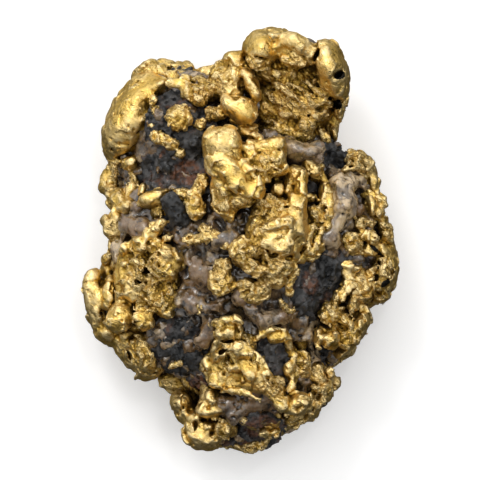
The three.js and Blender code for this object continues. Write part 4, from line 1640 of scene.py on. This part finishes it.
class Recipe:
    """One finish while it is being mixed: a material and the nodes that feed its shader."""

    def __init__(self, name: str) -> None:
        """Starts the material.

        Args:
            name: what the finish is called.
        """
        self.material = bpy.data.materials.new(name)
        self.material.use_nodes = True
        self.tree = self.material.node_tree
        self.tree.nodes.clear()
        self.shader = self.node("ShaderNodeBsdfPrincipled")
        out = self.node("ShaderNodeOutputMaterial")
        self.join(self.shader.outputs["BSDF"], out.inputs["Surface"])
        self.place = self.vector("SCALE", self.node("ShaderNodeTexCoord").outputs["Object"], 1 / MILLIMETRE)
        steps = ("MULTIPLY", "ADD", "SUBTRACT", "MAXIMUM")
        self.times, self.plus, self.less, self.most = (partial(self.sum, step) for step in steps)

    def node(self, kind: str, **settings: object) -> bpy.types.Node:
        """Adds a node with some settings."""
        made = self.tree.nodes.new(kind)
        for key, value in settings.items():
            setattr(made, key, value)
        return made

    def join(self, source: Source, target: Socket) -> None:
        """Feeds a socket from another socket, or sets its value.

        Args:
            source: the socket or the value.
            target: the socket that is fed.
        """
        if isinstance(source, bpy.types.NodeSocket):
            self.tree.links.new(source, target)
        elif isinstance(source, tuple) and target.type == "RGBA":
            target.default_value = (*source, 1.0)
        else:
            target.default_value = source

    def feed(self, made: bpy.types.Node, **values: Source) -> None:
        """Feeds a node's sockets by name, with _ for a space."""
        for name, value in values.items():
            self.join(value, made.inputs[name.replace("_", " ")])

    def vector(self, operation: str, first: Socket, second: Source = 0.0) -> Socket:
        """One step of arithmetic with vectors. Only a vector is scaled by a single number."""
        made = self.node("ShaderNodeVectorMath", operation=operation)
        self.join(first, made.inputs[0])
        if operation != "NORMALIZE":
            self.join(second, made.inputs["Scale"] if operation == "SCALE" else made.inputs[1])
        return made.outputs[0]

    def sum(self, operation: str, first: Source, second: Source = 0.0) -> Socket:
        """One step of arithmetic."""
        made = self.node("ShaderNodeMath", operation=operation)
        self.join(first, made.inputs[0])
        self.join(second, made.inputs[1])
        return made.outputs[0]

    def drawn(self, stretch: float, turn: float) -> Socket:
        """Places squeezed along a direction in plan, so that what is set on them is drawn out along it."""
        along = self.node("ShaderNodeMapping", vector_type="TEXTURE")
        self.feed(along, Vector=self.place, Rotation=(0, 0, math.radians(turn)), Scale=(stretch, 1, 1))
        return along.outputs[0]

    def noise(
        self, length: float, detail: float, sharp: float = 0.5, swirl: float = 0, place: Socket | None = None
    ) -> Socket:
        """Cloudy noise from 0 to 1, with one cloud about every length millimetres."""
        made = self.node("ShaderNodeTexNoise")
        self.feed(made, Vector=place or self.place, Scale=1 / length, Detail=detail)
        self.feed(made, Roughness=sharp, Distortion=swirl)
        return made.outputs[0]

    def cells(self, length: float, place: Socket | None = None, edge: bool = False) -> Socket:
        """Cells about length millimetres across: their chance colours, or the distance to their edge."""
        made = self.node("ShaderNodeTexVoronoi", feature="DISTANCE_TO_EDGE" if edge else "F1")
        self.feed(made, Vector=place or self.place, Scale=1 / length)
        return made.outputs["Distance" if edge else "Color"]

    def parts(self, colour: Socket) -> tuple[Socket, ...]:
        """The three numbers that a colour is made of."""
        made = self.node("ShaderNodeSeparateColor")
        self.join(colour, made.inputs[0])
        return tuple(made.outputs)

    def painted(self, name: str) -> Socket:
        """A number painted on the mesh."""
        return self.node("ShaderNodeAttribute", attribute_name=name).outputs["Fac"]

    def spread(self, value: Socket, low: float, high: float, to_low: float = 0, to_high: float = 1) -> Socket:
        """Stretches one range of numbers to another, smoothly and within its ends."""
        made = self.node("ShaderNodeMapRange", interpolation_type="SMOOTHSTEP")
        self.feed(made, Value=value, From_Min=low, From_Max=high, To_Min=to_low, To_Max=to_high)
        return made.outputs["Result"]

    def mix(self, share: Source, first: Source, second: Source) -> Socket:
        """Mixes two colours."""
        made = self.node("ShaderNodeMix", data_type="RGBA")
        self.join(share, made.inputs["Factor"])
        for source, target in zip((first, second), (end for end in made.inputs if end.type == "RGBA")):
            self.join(source, target)
        return made.outputs[2]

    def flakes(self, length: float, stretch: float = 1.0, turn: float = 0.0) -> tuple[Socket, Socket]:
        """Bent, drawn-out flakes.

        Args:
            length: how far across a flake is, in millimetres.
            stretch: how much longer it is along the folds.
            turn: the direction of the folds in plan, in degrees.

        Returns:
            Three chance numbers for each flake, and the distance to its edge as a share of the length.
        """
        swirl = self.node("ShaderNodeTexNoise")
        self.feed(swirl, Vector=self.place, Scale=0.6 / length, Detail=3.0)
        push = self.vector("SCALE", swirl.outputs["Color"], 1.7 * length)
        bent = self.vector("ADD", self.drawn(stretch, turn), push)
        return self.cells(length, bent), self.cells(length, bent, edge=True)

    def facets(self, source: Socket, share: Source) -> Socket:
        """A normal that leans a little differently on each crystal facet or flake."""
        lean = self.vector("SCALE", self.vector("SUBTRACT", source, (0.5, 0.5, 0.5)), share)
        normal = self.node("ShaderNodeNewGeometry").outputs["Normal"]
        return self.vector("NORMALIZE", self.vector("ADD", normal, lean))

    def bump(self, height: Socket, depth: float, normal: Socket) -> Socket:
        """Fine relief of a given depth in millimetres, on top of a normal."""
        made = self.node("ShaderNodeBump")
        self.feed(made, Distance=depth * MILLIMETRE, Strength=1.0, Height=height, Normal=normal)
        return made.outputs[0]

    def set(self, **values: Source) -> None:
        """Feeds the shader. Names are the shader's own, with _ for a space."""
        self.feed(self.shader, **values)


@dataclass(frozen=True)
class GoldFinish:
    """Native gold: silky on the knuckles, streaked and pitted, with dirt and painted shade darkening the
    hollows, creases and fold valleys, and paler ridges as a painted highlight.
    """

    bright: Colour = (0.84, 0.58, 0.17)
    pale: Colour = (0.92, 0.72, 0.36)
    deep: Colour = (0.64, 0.395, 0.07)
    # Olive: dirt and painted shade in hollows, creases and fold valleys.
    olive_shade: Colour = (0.33, 0.195, 0.026)
    # Near black: dirt and painted shade deep in hollows and creases, and the colour of cracks and specks.
    stain_and_shade: Colour = (0.05, 0.028, 0.008)
    inlaid: Colour = (0.022, 0.020, 0.018)
    roughness: float = 0.36
    edge: Colour = (1.0, 0.88, 0.62)

    def mix(self) -> bpy.types.Material:
        """Builds the material."""
        recipe = Recipe("native_gold")
        mix, noise, spread, painted = recipe.mix, recipe.noise, recipe.spread, recipe.painted
        times, plus, less, most = recipe.times, recipe.plus, recipe.less, recipe.most
        hollow, worked, crease, ridge_highlight = (painted(name) for name in ("hollow", "worked", "crease", "ridge_highlight"))
        broad = spread(noise(5.0, 4, 0.55), 0.38, 0.64)
        close = spread(noise(1.1, 5, 0.62, 0.4), 0.36, 0.66)
        flake, edge = recipe.flakes(1.15, 1.8, -40.0)
        colour = mix(times(broad, 0.8), self.bright, self.pale)
        colour = mix(times(close, 0.45), colour, self.deep)
        uneven = times(spread(recipe.parts(flake)[0], 0.35, 0.9), times(plus(worked, 0.3), 0.3))
        colour = mix(uneven, colour, self.deep)
        # Painted highlight: the ridges are painted paler.
        colour = mix(spread(ridge_highlight, 0.1, 0.8, 0.0, 0.9), colour, self.pale)
        # Dirt and painted shade: the colour darkens to olive in hollows, broken up by noise.
        dirt_and_shade_noise = spread(noise(0.7, 4, 0.65), 0.3, 0.75, -0.3, 0.34)
        deeper = plus(hollow, dirt_and_shade_noise)
        colour = mix(spread(deeper, 0.05, 0.55, 0.0, 0.8), colour, self.olive_shade)
        # Dirt and painted shade in creases: seam here is the crease measure, and it darkens the colour to
        # olive.
        seam = plus(crease, times(dirt_and_shade_noise, 0.5))
        colour = mix(spread(seam, 0.12, 0.7, 0.0, 0.8), colour, self.olive_shade)
        # The deepest hollows and creases go dark as dirt and painted shade.
        dirt_and_shade = spread(deeper, 0.5, 1.0)
        crease_dirt_and_shade = spread(plus(seam, times(hollow, 0.5)), 0.75, 1.3)
        torn = plus(times(worked, 0.12), noise(1.7, 3, 0.6))
        line = times(spread(edge, 0.012, 0.05, 0.85, 0.0), spread(torn, 0.57, 0.66))
        specks = times(spread(noise(0.45, 3, 0.6, 0.8), 0.68, 0.71), spread(noise(2.3, 3, 0.6), 0.48, 0.6))
        hairs = noise(0.5, 2, 0.5, 0.7, recipe.drawn(1.7, -30.0))
        hairs = recipe.sum("ABSOLUTE", less(hairs, 0.5))
        # Painted shade: olive lines along the valleys of the fine hair relief.
        furrow_shade = times(spread(hairs, 0.0, 0.06, 1.0, 0.0), spread(torn, 0.4, 0.56))
        colour = mix(times(furrow_shade, 0.85), colour, self.olive_shade)
        # Dark where dirt and painted shade fill the deepest hollows and creases, and along cracks and specks.
        dark = most(most(dirt_and_shade, crease_dirt_and_shade), most(line, specks))
        colour = mix(times(dark, 0.94), colour, self.stain_and_shade)
        ragged = less(spread(noise(0.9, 4, 0.6), 0.3, 0.7, -0.3, 0.3), painted("milk"))
        colour = mix(spread(ragged, 0.5, 0.6), colour, self.inlaid)
        rough = plus(spread(noise(0.5, 3, 0.6), 0.3, 0.7, -0.07, 0.1), self.roughness)
        rough = plus(rough, times(most(dirt_and_shade, crease_dirt_and_shade), 0.3))
        lean = recipe.facets(flake, plus(times(worked, 0.4), 0.1))
        folds = noise(0.85, 3, 0.5, 0.8, recipe.drawn(1.9, -40.0))
        folds = recipe.sum("ABSOLUTE", less(folds, 0.5))
        folds = times(folds, plus(times(worked, 0.5), 0.16))
        hairs = times(hairs, plus(times(worked, 0.4), 0.2))
        soft = recipe.bump(hairs, 0.7, recipe.bump(folds, 1.3, lean))
        sunk = less(1.0, most(line, specks))
        recipe.set(Base_Color=colour, Roughness=rough, Metallic=1.0, Normal=recipe.bump(sunk, 0.08, soft))
        recipe.set(Specular_Tint=self.edge)
        return recipe.material


@dataclass(frozen=True)
class QuartzFinish:
    """Smoky quartz: glossy grains from purple-grey to brown, and a few milky ones."""

    grey: Colour = (0.21, 0.158, 0.104)
    brown: Colour = (0.165, 0.095, 0.038)
    smoke: Colour = (0.020, 0.013, 0.008)
    milky: Colour = (0.52, 0.39, 0.23)
    rusty: Colour = (0.17, 0.088, 0.030)
    roughness: float = 0.15

    def mix(self) -> bpy.types.Material:
        """Builds the material."""
        recipe = Recipe("smoky_quartz")
        mix, noise, spread, painted = recipe.mix, recipe.noise, recipe.spread, recipe.painted
        times, plus, less, most = recipe.times, recipe.plus, recipe.less, recipe.most
        milk = painted("milk")
        tint, fair, _ = recipe.parts(recipe.cells(1.7))
        colour = mix(spread(tint, 0.2, 0.8), self.grey, self.brown)
        cloud = spread(noise(1.2, 6, 0.7, 0.6), 0.4, 0.62)
        colour = mix(times(cloud, 0.85), colour, self.smoke)
        fair = plus(most(milk, 0.0), spread(fair, 0.6, 1.0, 0.0, 0.75))
        fair = times(fair, spread(noise(1.7, 5, 0.6, 0.8), 0.4, 0.6, 0.05, 1.0))
        colour = mix(fair, colour, self.milky)
        stained = less(spread(noise(1.9, 5, 0.66), 0.42, 0.64, -0.15, 0.75), milk)
        stained = times(spread(stained, 0.4, 1.5), 0.7)
        colour = mix(stained, colour, self.rusty)
        colour = mix(spread(noise(0.6, 4, 0.65), 0.52, 0.72, 0.0, 0.45), colour, self.smoke)
        shade = most(spread(painted("hollow"), 0.3, 0.9), spread(painted("crease"), 0.1, 0.7))
        colour = mix(shade, colour, self.smoke)
        rough = spread(noise(0.8, 4, 0.6), 0.3, 0.7, self.roughness - 0.08, self.roughness + 0.16)
        normal = recipe.bump(noise(0.7, 4, 0.6), 0.1, recipe.facets(recipe.cells(1.1), 0.22))
        recipe.set(Base_Color=colour, Roughness=rough, Normal=normal, IOR=1.55)
        recipe.set(Coat_Weight=0.7, Coat_Roughness=0.07, Subsurface_Weight=0.2)
        recipe.set(Subsurface_Radius=(1.0, 0.7, 0.5), Subsurface_Scale=0.7 * MILLIMETRE)
        return recipe.material


@dataclass(frozen=True)
class IronstoneFinish:
    """Ironstone: blue-black and flaky, with metallic glints and rust in patches."""

    black: Colour = (0.011, 0.0115, 0.012)
    slate: Colour = (0.062, 0.059, 0.058)
    rust: Colour = (0.13, 0.05, 0.022)
    roughness: float = 0.55

    def mix(self) -> bpy.types.Material:
        """Builds the material."""
        recipe = Recipe("ironstone")
        mix, noise, spread = recipe.mix, recipe.noise, recipe.spread
        rusty = recipe.painted("milk")
        tint, shine, _ = recipe.parts(recipe.cells(0.9))
        colour = mix(spread(tint, 0.3, 1.0), self.black, self.slate)
        colour = mix(spread(rusty, 0.0, -0.8, 0.0, 0.85), colour, self.black)
        patch = recipe.plus(rusty, spread(noise(2.6, 5, 0.62), 0.52, 0.72))
        patch = recipe.times(patch, spread(noise(0.8, 4, 0.6), 0.4, 0.6, 0.2, 1.0))
        colour = mix(patch, colour, self.rust)
        rough = spread(shine, 0.0, 0.4, self.roughness - 0.38, self.roughness + 0.05)
        normal = recipe.bump(noise(0.5, 5, 0.65), 0.14, recipe.facets(recipe.cells(0.6), 0.85))
        recipe.set(Base_Color=colour, Roughness=rough, Normal=normal, Metallic=0.0, Specular_IOR_Level=0.5)
        return recipe.material


# From clay to the finished pieces


@dataclass
class Piece:
    """One modelled piece on its way to a mesh."""

    name: str
    mineral: Mineral
    clay: Clay
    fewest: int = 120
    triangles: int = 53000
    worked: float = 0.0
    fair: Patches = ()
    dark: Patches = ()


class Assembly:
    """All the pieces together: fits them to the frame, thins what is hidden and paints the hollows, creases
    and ridges that the finishes turn into dirt and painted shade and a painted highlight.
    """

    pitch = 0.5
    room = 8.0
    nudge = (0.1, -0.35, 0.0)
    close_radius, close_out, close_gain = 0.95, 0.55, 1.5
    broad_radius, broad_out, broad_gain = 2.6, 1.6, 1.3
    open_level = 0.30

    def __init__(self, pieces: Sequence[Piece], finishes: dict[Mineral, bpy.types.Material]) -> None:
        """Works out the space that the pieces fill.

        Args:
            pieces: the modelled pieces.
            finishes: the material of each mineral.
        """
        self.pieces = pieces
        self.finishes = finishes
        self.low = np.min([piece.clay.low for piece in pieces], axis=0) - self.room
        high = np.max([[axis[-1] for axis in piece.clay.axes] for piece in pieces], axis=0) + self.room
        axes = [np.arange(self.low[a], high[a], self.pitch) for a in AXES]
        filled = np.zeros([len(axis) for axis in axes], bool)
        for clay in (piece.clay for piece in pieces):
            window, index = [], []
            for a in AXES:
                window.append(slice(*np.searchsorted(axes[a], clay.axes[a][[0, -1]])))
                near = np.rint((axes[a][window[a]] - clay.low[a]) / clay.step).astype(int)
                index.append(np.clip(near, 0, clay.skin.shape[a] - 1))
            filled[tuple(window)] |= clay.skin[np.ix_(*index)] < 0
        self.close = self._blur(filled, self.close_radius)
        self.broad = self._blur(filled, self.broad_radius)

    def _blur(self, filled: Array, radius: float) -> Array:
        """Spreads the filled space out evenly.

        Args:
            filled: which samples are filled.
            radius: how far each is spread.

        Returns:
            The share of each sample's surroundings that is filled.
        """
        spectrum = np.fft.rfftn(filled.astype(np.float32))
        waves = [np.fft.fftfreq(count, self.pitch) for count in filled.shape]
        waves[-1] = np.fft.rfftfreq(filled.shape[-1], self.pitch)
        for wave in np.ix_(*waves):
            spectrum *= np.exp(-2 * (math.pi * radius * wave) ** 2)
        return np.fft.irfftn(spectrum, filled.shape).astype(np.float32)

    def hollow(self, points: Array, normals: Array) -> Array:
        """How deep in a hollow each place lies, from 0 in the open to 1.

        Args:
            points: places on the skin, one row each.
            normals: the outward directions there.

        Returns:
            One value for each place.
        """
        close = read_grid(self.close, (points + self.close_out * normals - self.low) / self.pitch)
        broad = read_grid(self.broad, (points + self.broad_out * normals - self.low) / self.pitch)
        filled = self.close_gain * (close - self.open_level) + self.broad_gain * (broad - self.open_level)
        return np.clip(filled, 0, 1)

    def hidden(self, piece: Piece, points: Array) -> Array:
        """Which places lie well inside other pieces."""
        buried = np.zeros(len(points), bool)
        for other in self.pieces:
            if other is not piece:
                buried |= other.clay.sample(points) < BURIED
        return buried

    def build(self) -> None:
        """Makes every piece's mesh, fits the whole to the frame and dresses it."""
        skins = [drop_crumbs(*skin_mesh(piece.clay), piece.fewest) for piece in self.pieces]
        every = np.concatenate([points for points, _ in skins])
        low, high = every.min(axis=0), every.max(axis=0)
        frame_low, frame_high = np.asarray(CAD_BOX) / MILLIMETRE
        scale = (frame_high - frame_low) / (high - low)
        LOG.info("modelled box %s to %s, scaled by %s", low.round(2), high.round(2), scale.round(4))
        for piece, (points, faces) in zip(self.pieces, skins):
            made = self._object(piece, points, faces)
            self._paint(piece, made.data)
            fitted = (self._read(made.data.vertices, "co") - low) * scale + frame_low
            share = 2 * (fitted - frame_low) / (frame_high - frame_low) - 1
            fitted = (fitted + np.asarray(self.nudge) * (1 - share**6)) * MILLIMETRE
            made.data.vertices.foreach_set("co", fitted.astype(np.float32).ravel())
            made.data.update()
            made.data.materials.append(self.finishes[piece.mineral])
            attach(made, BODY)
            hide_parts(NODE)
            LOG.info("%s: %d triangles", piece.name, len(made.data.polygons))

    @staticmethod
    def _read(items: bpy.types.bpy_prop_collection, key: str) -> Array:
        """A vector of each of a mesh's items, one row each."""
        values = np.empty(3 * len(items), np.float32)
        items.foreach_get(key, values)
        return values.reshape(-1, 3)

    def _object(self, piece: Piece, points: Array, faces: Array) -> bpy.types.Object:
        """Makes a Blender object with the piece's mesh, thinned where other pieces hide it.

        Args:
            piece: the piece.
            points: its points in millimetres.
            faces: its four-sided faces.

        Returns:
            The object, in the scene.
        """
        mesh = bpy.data.meshes.new(piece.name)
        mesh.vertices.add(len(points))
        mesh.vertices.foreach_set("co", points.ravel())
        mesh.loops.add(4 * len(faces))
        mesh.loops.foreach_set("vertex_index", faces.ravel().astype(np.int32))
        mesh.polygons.add(len(faces))
        mesh.polygons.foreach_set("loop_start", np.arange(0, 4 * len(faces), 4, dtype=np.int32))
        mesh.update(calc_edges=True)
        made = bpy.data.objects.new(piece.name, mesh)
        bpy.context.scene.collection.objects.link(made)
        buried = self.hidden(piece, points)
        triangles = 2 * len(faces)
        shown = triangles * (1 - THINNED * buried.mean())
        if buried.any():
            self._thin(made, shown / triangles, buried)
        if shown > piece.triangles:
            self._thin(made, piece.triangles / shown)
        made.data.shade_smooth()
        return made

    @staticmethod
    def _thin(made: bpy.types.Object, ratio: float, where: Array | None = None) -> None:
        """Thins a mesh out.

        Args:
            made: the object.
            ratio: the share of its triangles that stays.
            where: the points where it is thinned, or all over.
        """
        thin = made.modifiers.new("thin", "DECIMATE")
        thin.ratio = ratio
        if where is not None:
            group = made.vertex_groups.new(name="hidden")
            group.add(np.flatnonzero(where).tolist(), 1.0, "REPLACE")
            thin.vertex_group = group.name
        graph = bpy.context.evaluated_depsgraph_get()
        thinned = bpy.data.meshes.new_from_object(made.evaluated_get(graph))
        old = made.data
        made.modifiers.clear()
        made.vertex_groups.clear()
        made.data = thinned
        thinned.name = made.name
        bpy.data.meshes.remove(old)

    def _paint(self, piece: Piece, mesh: bpy.types.Mesh) -> None:
        """Paints the numbers that the finishes read.

        Args:
            piece: the piece.
            mesh: its mesh, still in the clay's millimetres.
        """
        places = self._read(mesh.vertices, "co")
        normals = self._read(mesh.vertex_normals, "vector")
        worked = np.full(len(places), piece.worked, np.float32)
        milk = np.zeros(len(places), np.float32)
        for patch in piece.fair:
            milk = np.maximum(milk, ease_off(patch.share(places), 0.35, -0.05))
        for patch in piece.dark:
            milk = milk - ease_off(patch.share(places), 0.5, -0.1)
        bend = piece.clay.smoothed().sample(places) / CREASE_DEPTH
        # The hollow and crease numbers drive dirt and painted shade in the finishes, and the ridge number a
        # painted highlight on ridges.
        numbers = {
            "hollow": self.hollow(places, normals),
            "crease": np.clip(-bend, 0, 1),
            "ridge_highlight": np.clip(bend, 0, 1),
            "worked": belonging(places, piece.clay.rough) if piece.clay.rough else worked,
            "milk": np.clip(milk, -1, 1),
        }
        for name, values in numbers.items():
            layer = mesh.attributes.new(name, "FLOAT", "POINT")
            layer.data.foreach_set("value", values.astype(np.float32))


# The studio


@dataclass
class Studio:
    """A pale floor, soft light from the head end and a camera straight above."""

    camera_height: float = 0.812
    lens: float = 400.0
    sensor: float = 36.0
    floor_size: float = 4.0
    floor_drop: float = 0.0002
    floor_colour: Colour = (0.93, 0.93, 0.93)
    floor_glow: float = 0.2
    tent_axis: Point = (-0.22, 0.74, 0.63)
    tent_fall: tuple[float, float, float, float] = (-0.52, 1.2, 0.07, 1.62)
    lamps: tuple[tuple[str, Point, float, float], ...] = (
        ("key_lamp", (-0.2, 0.42, 0.6), 0.2, 1.0),
        ("right_lamp", (0.42, -0.04, 0.34), 0.22, 0.25),
        ("spark_lamp", (0.1, 0.2, 0.75), 0.06, 0.25),
    )

    def build(self) -> None:
        """Sets the studio up."""
        self._camera()
        self._floor()
        self._light()

    @staticmethod
    def _object(name: str, data: bpy.types.ID, place: Sequence[float]) -> bpy.types.Object:
        """Puts a new object in the scene."""
        made = bpy.data.objects.new(name, data)
        made.location = place
        bpy.context.scene.collection.objects.link(made)
        return made

    def _camera(self) -> None:
        """The camera looks straight down on the middle of the specimen."""
        low, high = CAD_BOX
        lens = bpy.data.cameras.new("camera")
        lens.lens, lens.sensor_width = self.lens, self.sensor
        lens.clip_start, lens.clip_end = 0.01, 10.0
        place = ((low.x + high.x) / 2, (low.y + high.y) / 2, self.camera_height)
        bpy.context.scene.camera = self._object("camera", lens, place)

    def _floor(self) -> None:
        """A wide pale floor just under the resting face."""
        half = self.floor_size / 2
        mesh = bpy.data.meshes.new("floor")
        corners = [(-half, -half, 0), (half, -half, 0), (half, half, 0), (-half, half, 0)]
        mesh.from_pydata(corners, [], [(0, 1, 2, 3)])
        made = self._object("floor", mesh, (0.0, 0.0, CAD_BOX[0].z - self.floor_drop))
        made.visible_glossy = False
        recipe = Recipe("studio_floor")
        shade = recipe.spread(recipe.noise(60.0, 2), 0.3, 0.7)
        other = tuple(0.985 * value for value in self.floor_colour)
        recipe.set(Base_Color=recipe.mix(shade, self.floor_colour, other), Roughness=0.9)
        recipe.set(Emission_Color=(1.0, 1.0, 1.0), Emission_Strength=self.floor_glow)
        mesh.materials.append(recipe.material)

    def _light(self) -> None:
        """Soft lamps inside a light tent that is bright overhead and dark towards the floor."""
        for name, place, size, power in self.lamps:
            lamp = bpy.data.lights.new(name, "AREA")
            lamp.shape, lamp.size, lamp.energy = "DISK", size, power
            made = self._object(name, lamp, place)
            made.rotation_euler = (-Vector(place)).to_track_quat("-Z", "Y").to_euler()
        world = bpy.data.worlds.new("light_tent")
        world.use_nodes = True
        nodes, links = world.node_tree.nodes, world.node_tree.links
        facing = nodes.new("ShaderNodeVectorMath")
        facing.operation = "DOT_PRODUCT"
        links.new(nodes.new("ShaderNodeTexCoord").outputs["Generated"], facing.inputs[0])
        facing.inputs[1].default_value = Vector(self.tent_axis).normalized()
        fall = nodes.new("ShaderNodeMapRange")
        fall.interpolation_type = "SMOOTHSTEP"
        links.new(facing.outputs["Value"], fall.inputs["Value"])
        for name, value in zip(("From Min", "From Max", "To Min", "To Max"), self.tent_fall):
            fall.inputs[name].default_value = value
        links.new(fall.outputs["Result"], nodes["Background"].inputs["Strength"])
        nodes["Background"].inputs["Color"].default_value = (1.0, 1.0, 1.0, 1.0)
        bpy.context.scene.world = world
        bpy.context.scene.view_settings.view_transform = "Standard"


# The whole specimen


@dataclass
class Specimen:
    """The gold ore specimen, from bare rock to finished pieces."""

    bed: Bedrock = field(default_factory=Bedrock)
    quartz: Quartz = field(default_factory=Quartz)
    ironstone: Ironstone = field(default_factory=Ironstone)
    masses: tuple[type[GoldMass], ...] = (
        Crown, Saddle, Shoulder, Knuckle, Belly, Ring, Sponge, LeftRim, RightCrust, RightSkirt, Foil, Foot,
        Grains,
    )
    sides: tuple[SideGold, ...] = field(
        default_factory=lambda: (
            SideGold("left_flank_gold", 301, towards=(-1.0, 0.0, 0.0)),
            SideGold("right_flank_gold", 311, towards=(1.0, 0.0, 0.0)),
            SideGold("head_flank_gold", 321, towards=(0.0, 1.0, 0.0), count=40),
            SideGold("tail_flank_gold", 331, towards=(0.0, -1.0, 0.0), count=40),
            SideGold("broken_face_gold", 341, towards=(0.0, 0.0, -1.0), count=26, sizes=(1.4, 3.2)),
        )
    )

    def model(self) -> list[Piece]:
        """Models every piece, as clay that is not yet a mesh."""
        rock = self.bed.model()
        pieces = []
        for part in (self.quartz, self.ironstone):
            clay = part.model(rock, self.bed)
            painted = {"fair": part.fair, "dark": part.dark}
            pieces.append(Piece(part.name, part.mineral, clay, triangles=part.triangles, **painted))
        for mass in (kind() for kind in self.masses):
            clay, worked = mass.model(self.bed), 0.0 if mass.rough else 0.6
            pieces.append(Piece(mass.name, Mineral.GOLD, clay, mass.fewest, worked=worked, dark=mass.inlays))
        for side in self.sides:
            side.scatter(rock)
            pieces.append(Piece(side.name, Mineral.GOLD, side.model(self.bed), worked=0.35))
        return pieces


def main() -> None:
    """Builds the studio and the specimen, and notes how big it came out."""
    logging.basicConfig(level=logging.INFO, format="%(message)s")
    Studio().build()
    finishes = {
        Mineral.GOLD: GoldFinish().mix(),
        Mineral.QUARTZ: QuartzFinish().mix(),
        Mineral.IRONSTONE: IronstoneFinish().mix(),
    }
    Assembly(Specimen().model(), finishes).build()


if __name__ == "__main__":
    main()
